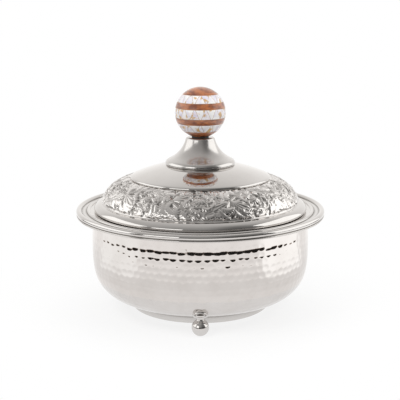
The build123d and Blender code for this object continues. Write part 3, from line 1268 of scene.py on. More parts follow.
@dataclass
class BowlBody:
    """The bowl: an inner bowl with a rolled rim, a hammered outer wall and a base dish.

    Bends are pairs of radius and turn. Steps cut an outline's moves, in their order.
    """

    belly_radius: float = 109.4
    sheet: float = 0.9
    underside_slope: float = 12.0
    underside_length: float = 7.9
    lower_knuckle: Pair = (37.0, 38.0)
    upper_knuckle: Pair = (32.0, 28.0)
    shoulder: Pair = (95.0, 10.4)
    barrel_radius: float = 400.0
    neck_radius: float = 2.5
    seam_tuck: float = 1.2
    rim_overhang: float = 15.6
    wall_space: float = 6.9
    inner_floor: float = 19.0
    inner_knuckle: float = 30.0
    inner_lip: float = 2.5
    ridge_inset: float = 12.3
    ridge_radius: float = 1.9
    rise: float = 70.0
    bead_radius: float = 2.8
    bead_turn: float = 202.0
    hem_fold: Pair = (0.3, 100.0)
    hem: Pair = (1.0, -270.0)
    fold: float = 0.8
    # width of the painted shade in the rim's creases
    crease_shade_width: float = 0.6
    # width of the painted shade where the wall meets the base dish
    base_shade_width: float = 3.5
    pan_gap: float = 0.2
    pan_corner: float = 2.5
    pan_lip_bend: float = 1.5
    pan_lip: float = 4.0
    plain_band: float = 14.6
    first_row_lift: float = 1.7
    band_lift: float = 0.054
    band_fade: float = 3.0
    mark_step: float = 0.95
    rim_steps: tuple[float, ...] = (12.0, 3.0, 8.0, 0.5, 2.0, 0.2, 0.3, 0.2, 2.0, 0.2, 0.4, 0.2, 0.25)
    pan_steps: tuple[float, ...] = (12.0, 0.5, STEP, 0.4, STEP)
    wall_segments: int = 688
    rim_segments: int = 320

    def __post_init__(self) -> None:
        """Reads the heights that the solids have."""
        self.rim_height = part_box("outer_shell")[1].z / MM + self.sheet
        self.opening_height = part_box("outer_shell")[0].z / MM
        self.pan_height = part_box("base_pan")[0].z / MM
        self.bead_centre = self.belly_radius + self.rim_overhang - self.bead_radius

    def wall_outline(self) -> Outline:
        """Draws the outer wall.

        Returns:
            Its outline, from its opening under the bowl to the flange under the rim.
        """
        step = self.mark_step
        outline = Outline(0.0, self.opening_height, self.underside_slope)
        bends = (self.lower_knuckle, self.upper_knuckle, self.shoulder)
        outline.follow(((self.underside_length, 0.0), *bends), [step] * 4)
        _, height, heading = outline.end()
        climb = self.rim_height - 2 * self.sheet - height
        lean = self.barrel_radius * cos(radians(heading)) + self.neck_radius - climb
        top = QUARTER - degrees(asin(lean / (self.barrel_radius + self.neck_radius)))
        outline.follow([(self.barrel_radius, top - heading)], [step])
        outline.radius = self.belly_radius - outline.end()[0] - self.barrel_radius * (1 - sin(radians(top)))
        outline.follow([(self.neck_radius, -top)], [STEP])
        return outline.follow([(self.bead_centre - self.seam_tuck - outline.end()[0], 0.0)], [STEP])

    def rim_outline(self) -> Outline:
        """Draws the inner bowl.

        Returns:
            Its outline, from its middle over the lid's seat and ridge to the rolled bead and hem.
        """
        inner = self.belly_radius - self.wall_space
        ridge = self.belly_radius + self.rim_overhang - self.ridge_inset
        half_ridge = (self.fold + self.ridge_radius) * sin(radians(self.rise))
        flange_end = self.bead_centre - (self.fold + self.bead_radius) * sin(radians(self.rise))
        wall = self.rim_height - self.inner_lip - self.inner_floor - self.inner_knuckle
        fold = (self.fold, self.rise)
        moves = (
            (inner - self.inner_knuckle, 0.0), (self.inner_knuckle, QUARTER), (wall, 0.0),
            (self.inner_lip, -QUARTER), (ridge - half_ridge - inner - self.inner_lip, 0.0),
            fold, (self.ridge_radius, -2 * self.rise), fold, (flange_end - ridge - half_ridge, 0.0),
            fold, (self.bead_radius, -self.bead_turn), self.hem_fold, self.hem,
        )
        return Outline(0.0, self.inner_floor, 0.0).follow(moves, self.rim_steps)

    def pan_outline(self) -> Outline:
        """Draws the base dish.

        Returns:
            Its outline, from its middle to the lip inside the wall's opening.
        """
        wall = self.wall_outline()
        slope = radians(self.underside_slope)
        bend_reach = self.pan_lip_bend * (1 - sin(slope))
        radius = wall.radius - self.sheet * sin(slope) - self.pan_gap - bend_reach
        seat = wall.height + self.sheet / cos(slope)
        lip_height = seat + (radius + bend_reach - wall.radius) * sin(slope) / cos(slope)
        side = lip_height - self.pan_lip_bend * cos(slope) - self.pan_height - self.pan_corner
        moves = (
            (radius - self.pan_corner, 0.0), (self.pan_corner, QUARTER), (side, 0.0),
            (self.pan_lip_bend, self.underside_slope - QUARTER), (self.pan_lip, 0.0),
        )
        return Outline(0.0, self.pan_height, 0.0).follow(moves, self.pan_steps)

    def hammered_wall(self) -> Mesh:
        """Makes the outer wall with its rows of hammer marks.

        Returns:
            The mesh, with painted shade where it meets the base dish.
        """
        outline = self.wall_outline()
        mesh = spun_sheet("hammered_wall", outline, self.sheet, Side.LEFT, self.wall_segments)
        along = values(mesh, "along")
        angle, radius = around_axis(mesh)
        end = outline.part(0, -2).length()
        marks = HammerMarks(end - self.plain_band + self.first_row_lift)
        front = along >= 0.0
        rise = np.zeros_like(along)
        rise[front] = -marks.depths(along[front], angle[front], radius[front])
        start = marks.first_row + marks.row_pitch / 2
        upright = np.clip(along - start, 0.0, end - start) * unit_clip(1.0 - (along - end) / self.band_fade)
        raise_face(mesh, rise + upright * self.band_lift)
        # painted shade along the wall's lowest edge, where it meets the base dish
        shade(mesh, np.exp(-((along / self.base_shade_width) ** 2)) * front)
        return mesh

    def dished_base(self) -> Mesh:
        """Makes the base dish.

        Returns:
            The mesh, with painted shade where its side meets the wall.
        """
        outline = self.pan_outline()
        mesh = spun_sheet("base_dish", outline, self.sheet, Side.LEFT, self.rim_segments // 2)
        along = values(mesh, "along")
        side = outline.part(0, 3).length()
        # painted shade in a band round the dish's side, where it meets the wall
        shade(mesh, unit_clip(1.0 - np.abs(along - side) / self.base_shade_width) * (along >= 0.0))
        return mesh

    def rimmed_bowl(self) -> Mesh:
        """Makes the inner bowl with its rim.

        Returns:
            The mesh, with painted shade in the creases outside the ridge and at the bead.
        """
        outline = self.rim_outline()
        mesh = spun_sheet("rimmed_inner_bowl", outline, self.sheet, Side.RIGHT, self.rim_segments)
        along = values(mesh, "along")
        crease_shade = np.zeros_like(along)
        folds = [at for at, move in enumerate(outline.moves) if move.size in (self.fold, self.hem_fold[0])]
        for at in folds[1:]:
            middle = outline.part(0, at).length() + outline.moves[at].length() / 2
            crease_shade = np.maximum(crease_shade, np.exp(-(((along - middle) / self.crease_shade_width) ** 2)))
        # painted shade in the folds outside the ridge and at the bead's hem
        shade(mesh, crease_shade * (along >= 0.0))
        return mesh

    def build(self, polished: Material, hammered: Material) -> None:
        """Makes and dresses the bowl's sheets.

        Args:
            polished: the finish of the rim and the base.
            hammered: the finish of the outer wall.
        """
        place_piece(self.hammered_wall(), hammered, Body.BOWL, Slot.HAMMERED, "outer_shell")
        place_piece(self.rimmed_bowl(), polished, Body.BOWL, Slot.POLISHED, "inner_bowl")
        place_piece(self.dished_base(), polished, Body.BOWL, Slot.POLISHED, "base_pan")


@dataclass
class BallFeet:
    """Three turned ball feet, each brazed on by a small round flange."""

    bowl: BowlBody
    inset: float = 15.4
    ball_radius: float = 8.25
    flat_radius: float = 2.5
    neck_radius: float = 3.6
    hollow_radius: float = 3.2
    flare: float = 50.0
    flange_radius: float = 7.5
    flange_thickness: float = 1.2
    flange_edge: float = 0.5
    sink: float = 1.6
    ball_step: float = 0.6
    hollow_step: float = 0.4
    edge_step: float = 0.15
    segments: int = 96
    turns: tuple[tuple[str, float], ...] = (
        ("front_foot", -90.0), ("rear_right_foot", 30.0), ("rear_left_foot", 150.0),
    )

    def seat(self) -> tuple[Vector, float]:
        """Finds where a foot meets the wall.

        Returns:
            The place, and the wall's slope there.
        """
        wall = self.bowl.wall_outline()
        slope = radians(self.bowl.underside_slope)
        radius, _ = self.bowl.lower_knuckle
        start = wall.radius + self.bowl.underside_length * cos(slope)
        place = self.bowl.belly_radius - self.inset
        lean = asin(sin(slope) + (place - start) / radius)
        rise = self.bowl.underside_length * sin(slope) + radius * (cos(slope) - cos(lean))
        return Vector((place, 0, wall.height + rise)), degrees(lean)

    def turned(self) -> BMesh:
        """Turns ball, neck and flare about the upright axis.

        Returns:
            The mesh.
        """
        ball_height = sqrt(self.ball_radius**2 - self.flat_radius**2)
        hollow = self.neck_radius + self.hollow_radius
        rise = sqrt((self.ball_radius + self.hollow_radius) ** 2 - hollow**2)
        start = -degrees(atan2(ball_height, self.flat_radius))
        neck = degrees(atan2(rise, hollow))
        lathe = Lathe(0.0, 0.0, 0.0).move(Move(self.flat_radius))
        lathe.corner(start + QUARTER).move(Move(self.ball_radius, neck - start, self.ball_step))
        lathe.move(Move(self.hollow_radius, -neck - self.flare, self.hollow_step))
        top = lathe.tip.co.x
        lathe.corner(QUARTER - lathe.heading).move(Move(self.flange_thickness))
        return lathe.corner(QUARTER).move(Move(top)).close().spin(self.segments)

    def flange(self) -> BMesh:
        """Turns the round flange and sets it square to the wall.

        Returns:
            The mesh.
        """
        seat, slope = self.seat()
        lathe = Lathe(0.0, -self.flange_thickness, 0.0)
        lathe.move(Move(self.flange_radius - self.flange_edge))
        lathe.move(Move(self.flange_edge, QUARTER, self.edge_step))
        lathe.move(Move(self.flange_thickness - self.flange_edge + self.sink))
        disc = lathe.corner(QUARTER).move(Move(self.flange_radius)).close().spin(self.segments)
        turn_about(disc, -slope, "Y")
        bmesh.ops.translate(disc, verts=disc.verts, vec=seat)
        return disc

    def build(self, polished: Material) -> None:
        """Makes and dresses the feet.

        Args:
            polished: their finish.
        """
        for name, turn in self.turns:
            foot = self.turned()
            bmesh.ops.translate(foot, verts=foot.verts, vec=(self.bowl.belly_radius - self.inset, 0, 0))
            join(foot, self.flange())
            turn_about(foot, turn)
            mesh = to_mesh(foot, name.replace("_foot", "_ball_foot"))
            place_piece(mesh, polished, Body.BOWL, Slot.POLISHED, name)


@dataclass
class DomedLid:
    """The lid: an embossed shell with a plain rolled rim, a smooth cap and a flared bell.

    Bends are pairs of radius and turn. Steps cut an outline's moves, in their order.
    """

    sheet: float = 0.9
    lid_radius: float = 107.06
    hole_radius: float = 2.65
    crown_slope: float = 11.0
    dome_upper: Pair = (45.0, 18.0)
    dome_lower: Pair = (29.8, 42.5)
    cove: Pair = (2.0, 61.5)
    bead: Pair = (9.5, 50.0)
    edge_radius: float = 2.2
    cap_inset: float = 1.6
    cap_crown: float = 174.0
    cap_edge: float = 2.2
    hem: Pair = (1.2, -110.0)
    bell_radius: float = 35.0
    bell_shoulder: Pair = (2.0, 75.8)
    bell_flare: Pair = (29.7, 47.0)
    bell_skirt: float = 4.2
    bell_edge: float = 4.4
    relief_ground: float = -0.6
    relief_radius: float = 88.0
    relief_tuck: float = 2.4
    relief_foot: float = 1.4
    shell_steps: tuple[float, ...] = (14.0, 0.46, 0.46, 0.46, 0.45, 0.7, 0.6)
    cap_steps: tuple[float, ...] = (2.5, 0.35, 0.25)
    bell_steps: tuple[float, ...] = (STEP, 0.25, 0.8, 0.8, 0.4, 0.25)
    shell_segments: int = 1040
    smooth_segments: int = 288

    def crown_edge(self) -> float:
        """Finds where the crown turns into the dome.

        Returns:
            The radius.
        """
        slope, reach = self.crown_slope, 0.0
        for radius, turn in (self.dome_upper, self.dome_lower, (-self.cove[0], -self.cove[1]), self.bead):
            reach += radius * (sin(radians(slope + turn)) - sin(radians(slope)))
            slope += turn
        return self.lid_radius - (reach + self.edge_radius * (1 - sin(radians(slope))))

    def shell_outline(self) -> Outline:
        """Draws the lid's shell.

        Returns:
            Its outline, from the screw hole to the rolled edge.
        """
        crown = self.crown_edge() / sin(radians(self.crown_slope))
        hole = degrees(asin(self.hole_radius / crown))
        tuck = degrees(self.relief_tuck / crown)
        falls = ((radius, -turn) for radius, turn in (self.dome_upper, self.dome_lower))
        moves = (
            (crown, hole - self.crown_slope + tuck), (crown, -tuck), *falls, self.cove,
            (self.bead[0], -self.bead[1]),
        )
        outline = Outline(self.hole_radius, 0.0, -hole).follow(moves, self.shell_steps[:-1])
        outline.follow([(self.edge_radius, -HALF_TURN - outline.end()[2])], self.shell_steps[-1:])
        outline.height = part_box("lid_shell")[0].z / MM - outline.end()[1]
        return outline

    def embossed_dome(self, outline: Outline) -> Mesh:
        """Makes the lid's dome with its leaf scroll.

        Args:
            outline: the dome's part of the shell's outline.

        Returns:
            The mesh, which carries how deep each place lies between the ribs.
        """
        mesh = spun_sheet("embossed_lid", outline, self.sheet, Side.RIGHT, self.shell_segments)
        along = values(mesh, "along")
        angle, _ = around_axis(mesh)
        band = outline.length()
        scroll = LeafScroll(tau * self.relief_radius / LeafScroll.repeats, band)
        front, up = along >= 0.0, band - along
        relief, valley = np.zeros_like(along), np.zeros_like(along)
        relief[front], valley[front] = scroll.heights(angle[front] * self.relief_radius, up[front])
        ramp = unit_clip(up / self.relief_foot) * unit_clip(along / self.relief_tuck) * front
        raise_face(mesh, (relief + self.relief_ground) * ramp)
        # patina and painted shade between the ribs, faded in at the dome's edges
        shade(mesh, valley * ramp * unit_clip(along / self.relief_tuck - 1.0))
        return mesh

    def cap_outline(self) -> Outline:
        """Draws the smooth cap.

        Returns:
            Its outline, from the screw hole to its rolled hem.
        """
        radius = self.crown_edge() - self.cap_inset
        roll = degrees(asin((radius - self.cap_edge) / (self.cap_crown - self.cap_edge)))
        hole = degrees(asin(self.hole_radius / self.cap_crown))
        outline = Outline(self.hole_radius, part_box("lid_cap")[1].z / MM, -hole)
        moves = ((self.cap_crown, hole - roll), (self.cap_edge, roll - QUARTER), self.hem)
        return outline.follow(moves, self.cap_steps)

    def bell_outline(self) -> Outline:
        """Draws the flared bell.

        Returns:
            Its outline, from the screw hole to its rolled hem.
        """
        (shoulder, fall), (flare, back) = self.bell_shoulder, self.bell_flare
        skirt = fall - back
        slope = sin(radians(fall))
        reach = (
            shoulder * slope + flare * (slope - sin(radians(skirt))) + self.bell_skirt * cos(radians(skirt))
            + self.bell_edge * (1 - sin(radians(skirt)))
        )
        moves = (
            (self.bell_radius - reach - self.hole_radius, 0.0), (shoulder, -fall), (flare, back),
            (self.bell_skirt, 0.0), (self.bell_edge, skirt - QUARTER), self.hem,
        )
        outline = Outline(self.hole_radius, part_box("bell_collar")[1].z / MM, 0.0)
        return outline.follow(moves, self.bell_steps)

    def build(self, polished: Material, satin: Material, embossed: Material) -> None:
        """Makes and dresses the lid's sheets.

        Args:
            polished: the finish of the cap and of the shell's plain parts.
            satin: the softer finish of the bell.
            embossed: the finish of the shell's dome.
        """
        shell = self.shell_outline()
        dome = self.embossed_dome(shell.part(1, 4))
        place_piece(dome, embossed, Body.LID, Slot.EMBOSSED, "lid_shell")
        for outline, finish, slot, name, nodes in (
            (shell.part(0, 1), polished, Slot.EMBOSSED, "lid_crown", ()),
            (shell.part(4, 7), polished, Slot.EMBOSSED, "plain_lid_rim", ()),
            (self.cap_outline(), polished, Slot.POLISHED, "smooth_cap", ("lid_cap",)),
            (self.bell_outline(), satin, Slot.POLISHED, "flared_bell", ("bell_collar",)),
        ):
            mesh = spun_sheet(name, outline, self.sheet, Side.RIGHT, self.smooth_segments)
            place_piece(mesh, finish, Body.LID, slot, *nodes)


@dataclass(frozen=True)
class Band:
    """One inlaid band of the knob, between two angles above its equator."""

    node: str
    low: float
    high: float
    pairs: int


@dataclass
class InlaidKnob:
    """The ball knob: lacquered wood with three bands of shell tiles set in pale cement."""

    radius: float = 25.3
    flat_radius: float = 9.0
    tile_depth: float = 1.5
    tile_clearance: float = 0.1
    joint: float = 0.3
    narrow_end_share: float = 0.15
    tile_bevel: float = 0.13
    cut_margin: float = 1.0
    cement_drop: float = 0.1
    ball_step: float = 0.8
    band_step: float = 1.5
    tile_step: float = 2.0
    tile_segments: int = 8
    segments: int = 192
    seed: int = 5
    bands: tuple[Band, ...] = (
        Band("pearl_tiles_lower", -46.4, -24.6, 12),
        Band("pearl_tiles_middle", -11.2, 11.2, 14),
        Band("pearl_tiles_upper", 24.6, 46.4, 12),
    )

    def __post_init__(self) -> None:
        """Reads the height of the knob's centre from the solids."""
        self.centre = Vector((0, 0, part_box("knob_core")[1].z / MM - self.radius))

    def ball(self) -> BMesh:
        """Turns the wooden ball with a groove for each band.

        Returns:
            The mesh, about the knob's centre.
        """
        drop = sqrt(self.radius**2 - self.flat_radius**2)
        place = -degrees(asin(drop / self.radius))
        lathe = Lathe(0.0, -drop, 0.0).move(Move(self.flat_radius)).corner(place + QUARTER)
        for band in self.bands:
            lathe.move(Move(self.radius, band.low - place, self.ball_step))
            lathe.corner(QUARTER).move(Move(self.tile_depth)).corner(-QUARTER)
            lathe.move(Move(self.radius - self.tile_depth, band.high - band.low, self.band_step))
            lathe.corner(-QUARTER).move(Move(self.tile_depth)).corner(QUARTER)
            place = band.high
        return lathe.move(Move(self.radius, QUARTER - place, self.ball_step)).spin(self.segments)

    def cement(self, band: Band) -> BMesh:
        """Turns the ring of cement that shows between a band's tiles.

        Args:
            band: the band.

        Returns:
            The mesh, about the knob's centre.
        """
        outer, inner = self.radius - self.cement_drop, self.radius - self.tile_depth
        start = radians(band.low)
        lathe = Lathe(outer * cos(start), outer * sin(start), band.low + QUARTER)
        lathe.move(Move(outer, band.high - band.low, self.band_step))
        lathe.corner(QUARTER).move(Move(outer - inner)).corner(QUARTER)
        return lathe.move(Move(inner, band.low - band.high, self.band_step)).close().spin(self.segments)

    @staticmethod
    def direction(longitude: float, latitude: float) -> Vector:
        """The direction from the centre to a place on the ball."""
        east, north = radians(longitude), radians(latitude)
        return Vector((cos(north) * cos(east), cos(north) * sin(east), sin(north)))

    def tile(self, low: float, high: float, low_half: float, high_half: float) -> BMesh:
        """Cuts one tile on the +X side, between two planes that lean in or out.

        Args:
            low: the angle of its lower edge.
            high: the angle of its upper edge.
            low_half: half its width at the lower edge, as an angle.
            high_half: half its width at the upper edge, as an angle.

        Returns:
            The tile, about the knob's centre.
        """
        lathe = Lathe(self.radius * cos(radians(low)), self.radius * sin(radians(low)), low + QUARTER)
        bm = lathe.move(Move(self.radius, high - low, self.tile_step)).bm
        reach = max(low_half, high_half) + self.cut_margin
        turn_about(bm, -reach)
        bmesh.ops.spin(
            bm, geom=bm.verts[:] + bm.edges[:], cent=ORIGIN, axis=UP, angle=radians(2 * reach),
            steps=self.tile_segments)
        bmesh.ops.remove_doubles(bm, verts=bm.verts, dist=WELD)
        right = self.direction(low_half, low).cross(self.direction(high_half, high)).normalized()
        right *= copysign(1.0, right.y)
        for side in (right, Vector((right.x, -right.y, right.z))):
            bmesh.ops.bisect_plane(
                bm, geom=everything(bm), dist=WELD, plane_co=-side * self.joint / 2, plane_no=side,
                clear_outer=True)
        bmesh.ops.recalc_face_normals(bm, faces=bm.faces)
        if bm.faces[:] and bm.faces[0].normal.x < 0:
            bmesh.ops.reverse_faces(bm, faces=bm.faces)
        return self.thickened(bm)

    def thickened(self, bm: BMesh) -> BMesh:
        """Gives a tile its depth and softens its upper edges.

        Args:
            bm: the tile's face.

        Returns:
            The same mesh, closed.
        """
        made = bmesh.ops.extrude_face_region(bm, geom=bm.faces[:])
        lifted = {part for part in made["geom"] if isinstance(part, BMVert)}
        shrink = 1.0 - (self.tile_depth - self.tile_clearance) / self.radius
        sunk = [vert for vert in bm.verts if vert not in lifted]
        bmesh.ops.scale(bm, vec=(shrink, shrink, shrink), verts=sunk)
        bmesh.ops.recalc_face_normals(bm, faces=bm.faces)
        top = {face for face in bm.faces if lifted.issuperset(face.verts)}
        border = [edge for edge in bm.edges if sum(face in top for face in edge.link_faces) == 1]
        bmesh.ops.bevel(
            bm, geom=border, offset=self.tile_bevel, segments=2, profile=0.5, affect="EDGES", material=-1)
        return bm

    def inlay(self, band: Band, random: np.random.Generator) -> Mesh:
        """Sets a band's tiles: upright and inverted in turn, each with a tone of its own.

        Args:
            band: the band.
            random: draws the tones.

        Returns:
            The mesh, in its place.
        """
        margin = degrees(self.joint / self.radius)
        half_pitch = HALF_TURN / band.pairs
        narrow = half_pitch * self.narrow_end_share
        ends = (half_pitch - narrow, narrow)
        whole = bmesh.new()
        tone = whole.verts.layers.float.new("tone")
        for place in range(2 * band.pairs):
            piece = self.tile(band.low + margin, band.high - margin, *ends)
            turn_about(piece, half_pitch * place)
            before = len(whole.verts)
            join(whole, piece)
            whole.verts.ensure_lookup_table()
            own = random.uniform(0.0, 1.0)
            for vert in whole.verts[before:]:
                vert[tone] = own
            ends = ends[::-1]
        return self.settled(whole, band.node.replace("pearl_tiles", "shell_tiles"))

    def settled(self, bm: BMesh, name: str) -> Mesh:
        """Lifts a piece to the knob's centre and makes its mesh."""
        bmesh.ops.translate(bm, verts=bm.verts, vec=self.centre)
        return to_mesh(bm, name)

    def build(self, wood: Material, shell: Material, cement: Material) -> None:
        """Makes and dresses the knob.

        Args:
            wood: the finish of the ball.
            shell: the finish of the tiles.
            cement: the finish of the joints between them.
        """
        random = np.random.default_rng(self.seed)
        place_piece(self.settled(self.ball(), "wooden_ball"), wood, Body.LID, Slot.WOOD, "knob_core")
        for band in self.bands:
            place_piece(self.inlay(band, random), shell, Body.LID, Slot.SHELL, band.node)
            ring = self.settled(self.cement(band), band.node.replace("pearl_tiles", "cement_ring"))
            place_piece(ring, cement, Body.LID, Slot.SHELL)


def warm(tone: float, green: float, blue: float) -> Triple:
    """A light tone with a little less green and blue."""
    return tone, tone * green, tone * blue


@dataclass
class Studio:
    """A white room with a darker front, bright cards at the sides, soft lamps and the camera.

    The room's tones stand at shares of the way round from the front to the back. A warmth is the share of
    green and of blue that a tone keeps. A shine lies between two angles to the right of the front and has a
    brightness. Cards and lamps are rows of what the methods card and lamp take.
    """

    eye: Triple = (-0.0003, -1.0, 0.323)
    tilt: float = 11.99
    focal_pixels: float = 1010.0
    image_width: float = 400.0
    sensor: float = 36.0
    fill: float = 0.55
    floor_size: float = 4.0
    floor_tint: Triple = (0.93, 0.925, 0.92)
    floor_glow_share: float = 0.8
    floor_fade: Pair = (0.08, 0.26)
    room_radius: float = 2.6
    room_tones: tuple[Pair, ...] = (
        (0.0, 0.33), (0.24, 0.33), (0.34, 0.41), (0.42, 0.51), (0.5, 0.58), (0.6, 0.66), (0.66, 0.73),
        (0.72, 0.87), (0.8, 0.98), (0.92, 1.08),
    )
    room_pieces: tuple[int, int] = (64, 32)
    room_warmth: Pair = (0.985, 0.965)
    paper_warmth: Pair = (0.985, 0.972)
    shine_warmth: Pair = (1.0, 0.99)
    card_warmth: Pair = (1.0, 0.985)
    room_foot: Pair = (0.1, 0.36)
    room_front: Pair = (0.22, 0.5)
    room_right: Pair = (0.0, 0.5)
    room_right_end: Pair = (0.36, 0.56)
    right_tone: Triple = (0.03, 0.03, 0.03)
    right_share: float = 0.6
    foot_tone: Triple = (0.0, 0.0, 0.0)
    foot_share: float = 0.85
    front_edge: float = 0.58
    front_fade: float = 0.07
    ground_gap: float = 0.05
    ground_half: float = 128.0
    ground_height: float = 0.001
    ground_edge_tone: Triple = (0.42, 0.33, 0.27)
    ground_tone: Triple = (0.018, 0.016, 0.015)
    paper_start: float = 0.13
    paper_height: float = 0.0008
    paper_ring: Pair = (0.2, 0.44)
    # painted light and shade on the mirrored paper: by the bowl, in a painted shadow ring, and far out
    paper_light_and_shade: Triple = (1.02, 0.95, 1.13)
    shine_fade: Pair = (0.18, 0.32)
    shine_edge: float = 6.0
    shines: tuple[Triple, ...] = ((-110.0, -57.0, 1.22), (57.0, 110.0, 1.42))
    sector_steps: int = 48
    cards: tuple[tuple[str, Triple, Pair, float, Pair], ...] = (
        ("right_card", (0.75, 0.14, 0.47), (0.98, 0.78), 90.0, (1.45, 1.5)),
        ("left_card", (-0.9, 0.06, 0.47), (1.1, 0.72), 90.0, (1.45, 1.5)),
        ("left_front_card", (-0.643, -0.953, 0.45), (0.66, 0.58), -34.0, (1.6, 1.6)),
    )
    lamps: tuple[tuple[str, Triple, float, float], ...] = (
        ("key_lamp", (-0.9, -0.7, 1.3), 10.0, 0.9),
        ("fill_lamp", (1.1, -0.5, 1.0), 6.0, 0.9),
        ("top_lamp", (0.1, 0.4, 1.6), 8.0, 1.2),
    )
    lamp_aim: Triple = (0.0, 0.0, 0.1)

    def camera(self) -> None:
        """Sets the camera at the photograph's viewing angle."""
        data = bpy.data.cameras.new("camera")
        data.sensor_width = self.sensor
        data.lens = self.focal_pixels / self.image_width * self.sensor
        camera = bpy.data.objects.new("camera", data)
        camera.location = self.eye
        camera.rotation_euler = (radians(QUARTER - self.tilt), 0, 0)
        bpy.context.collection.objects.link(camera)
        bpy.context.scene.camera = camera

    @staticmethod
    def white_rays(bench: Bench) -> Wire:
        """Tells rays that see the background directly, in a mirror or through glass.

        Args:
            bench: the bench to work on.

        Returns:
            One for such rays.
        """
        rays = bench.node("LightPath").outputs
        names = ("Is Camera Ray", "Is Glossy Ray", "Is Transmission Ray")
        camera, glossy, through = (Wire(bench, rays[name]) for name in names)
        return bench.clamp(camera + glossy + through)

    def world(self) -> None:
        """Sets up a white background with a softer fill."""
        world = bpy.data.worlds.new("white_room")
        world.use_nodes = True
        bpy.context.scene.world = world
        bench = Bench(world.node_tree)
        strength = self.white_rays(bench) * (1.0 - self.fill) + self.fill
        white = bench.wire("Background", None, {"Color": (1, 1, 1, 1), "Strength": strength})
        bench.node("OutputWorld", None, {"Surface": white})

    def floor(self) -> None:
        """Lays a pale floor that stays white to the eye and keeps the bowl's shadow."""
        bm = bmesh.new()
        bmesh.ops.create_grid(bm, x_segments=1, y_segments=1, size=self.floor_size / MM)
        material, bench = new_bench("pale_floor")
        matt = bench.wire("BsdfDiffuse", None, {"Color": (*self.floor_tint, 1.0)})
        glow = bench.wire("Emission", None, {"Color": (1, 1, 1, 1), "Strength": 1.0})
        near = 1.0 - bench.between(bench.reach(bench.place()), *self.floor_fade)
        share = self.white_rays(bench) * (1.0 - near * (1.0 - self.floor_glow_share))
        bench.surface(bench.wire("MixShader", None, {0: share, 1: matt, 2: glow}))
        self.set_up(to_mesh(bm, "floor"), material)

    @staticmethod
    def set_up(mesh: Mesh, material: Material) -> Object:
        """Puts a piece of the studio in the scene.

        Args:
            mesh: the piece.
            material: its finish.

        Returns:
            The new object.
        """
        mesh.materials.append(material)
        thing = bpy.data.objects.new(mesh.name, mesh)
        bpy.context.collection.objects.link(thing)
        return thing

    def glowing(self, mesh: Mesh, material: Material, bench: Bench, tone: Wire) -> None:
        """Gives a piece a glow and shows it in mirrors and nowhere else.

        Args:
            mesh: the piece.
            material: its finish, still without an end.
            bench: the finish's bench.
            tone: the colour of the glow.
        """
        bench.surface(bench.wire("Emission", None, {"Color": tone, "Strength": 1.0}))
        thing = self.set_up(mesh, material)
        for rays in ("camera", "diffuse", "shadow", "transmission", "volume_scatter"):
            setattr(thing, "visible_" + rays, False)

    def room(self) -> None:
        """Sets up a dome that is dark in front of the bowl and white behind it."""
        bm, radius = bmesh.new(), self.room_radius
        across, up = self.room_pieces
        bmesh.ops.create_uvsphere(bm, u_segments=across, v_segments=up, radius=radius / MM)
        bmesh.ops.bisect_plane(bm, geom=everything(bm), plane_co=ORIGIN, plane_no=UP, clear_inner=True)
        material, bench = new_bench("room_tone")
        along_x, along_y, along_z = bench.axes(bench.place())
        aside = bench.math("ARCCOSINE", along_y * (-1.0 / radius)) * (1.0 / pi)
        stops = [(place, warm(tone, *self.room_warmth)) for place, tone in self.room_tones]
        ramp = bench.wire("ValToRGB", {"stops": stops}, {0: aside})
        low = 1.0 - bench.between(along_z, *(radius * share for share in self.room_foot))
        front = 1.0 - bench.between(aside, *self.room_front)
        right = bench.between(along_x, *(radius * share for share in self.room_right))
        right = right * (1.0 - bench.between(aside, *self.room_right_end))
        tone = bench.blend(right * self.right_share, ramp, self.right_tone)
        tone = bench.blend(low * front * self.foot_share, tone, self.foot_tone)
        self.glowing(to_mesh(bm, "room_dome"), material, bench, tone)

    def sector(self, name: str, reach: Pair, half: float, height: float) -> Mesh:
        """Makes a flat ring sector on the floor.

        Args:
            name: of the mesh.
            reach: its inner and outer radius.
            half: its angle to each side of the front.
            height: above the floor.

        Returns:
            The mesh.
        """
        bm = bmesh.new()
        bm.edges.new([bm.verts.new((radius / MM, 0, height / MM)) for radius in reach])
        turn_about(bm, -half - QUARTER)
        bmesh.ops.spin(
            bm, geom=bm.verts[:] + bm.edges[:], cent=ORIGIN, axis=UP, angle=radians(2 * half),
            steps=self.sector_steps, use_merge=half >= HALF_TURN)
        return to_mesh(bm, name)

    def dark_ground(self) -> None:
        """Lays the dark ground in front and beside, beyond the edge of the white paper."""
        reach = (self.front_edge, self.room_radius - self.ground_gap)
        mesh = self.sector("dark_ground", reach, self.ground_half, self.ground_height)
        material, bench = new_bench("dark_ground")
        distance = bench.reach(bench.place())
        far = bench.between(distance, self.front_edge, self.front_edge + self.front_fade)
        self.glowing(mesh, material, bench, bench.blend(far, self.ground_edge_tone, self.ground_tone))

    def paper(self) -> None:
        """Lays the white paper as the metal mirrors it, with a painted shadow ring round the bowl, brighter
        further out, and painted pools of light by the softboxes.
        """
        reach = (self.paper_start, self.front_edge)
        mesh = self.sector("paper_ring", reach, HALF_TURN, self.paper_height)
        material, bench = new_bench("paper_tone")
        place = bench.place()
        along_x, along_y, _ = bench.axes(place)
        distance = bench.reach(place)
        angle = bench.math("ARCTAN2", along_x, along_y * -1.0) * degrees(1.0)
        # painted light and shade: tones by the bowl, in the painted shadow ring and far out
        near, ring, far = (warm(tone, *self.paper_warmth) for tone in self.paper_light_and_shade)
        tone = bench.blend(bench.between(distance, *self.paper_ring), ring, far)
        tone = bench.blend(bench.between(distance, self.paper_start, self.paper_ring[0]), near, tone)
        lit = bench.between(distance, *self.shine_fade)
        for start, end, shine in self.shines:
            inside = bench.between(angle, start - self.shine_edge, start + self.shine_edge)
            beyond = bench.between(angle, end - self.shine_edge, end + self.shine_edge)
            tone = bench.blend(inside * (1.0 - beyond) * lit, tone, warm(shine, *self.shine_warmth))
        self.glowing(mesh, material, bench, tone)

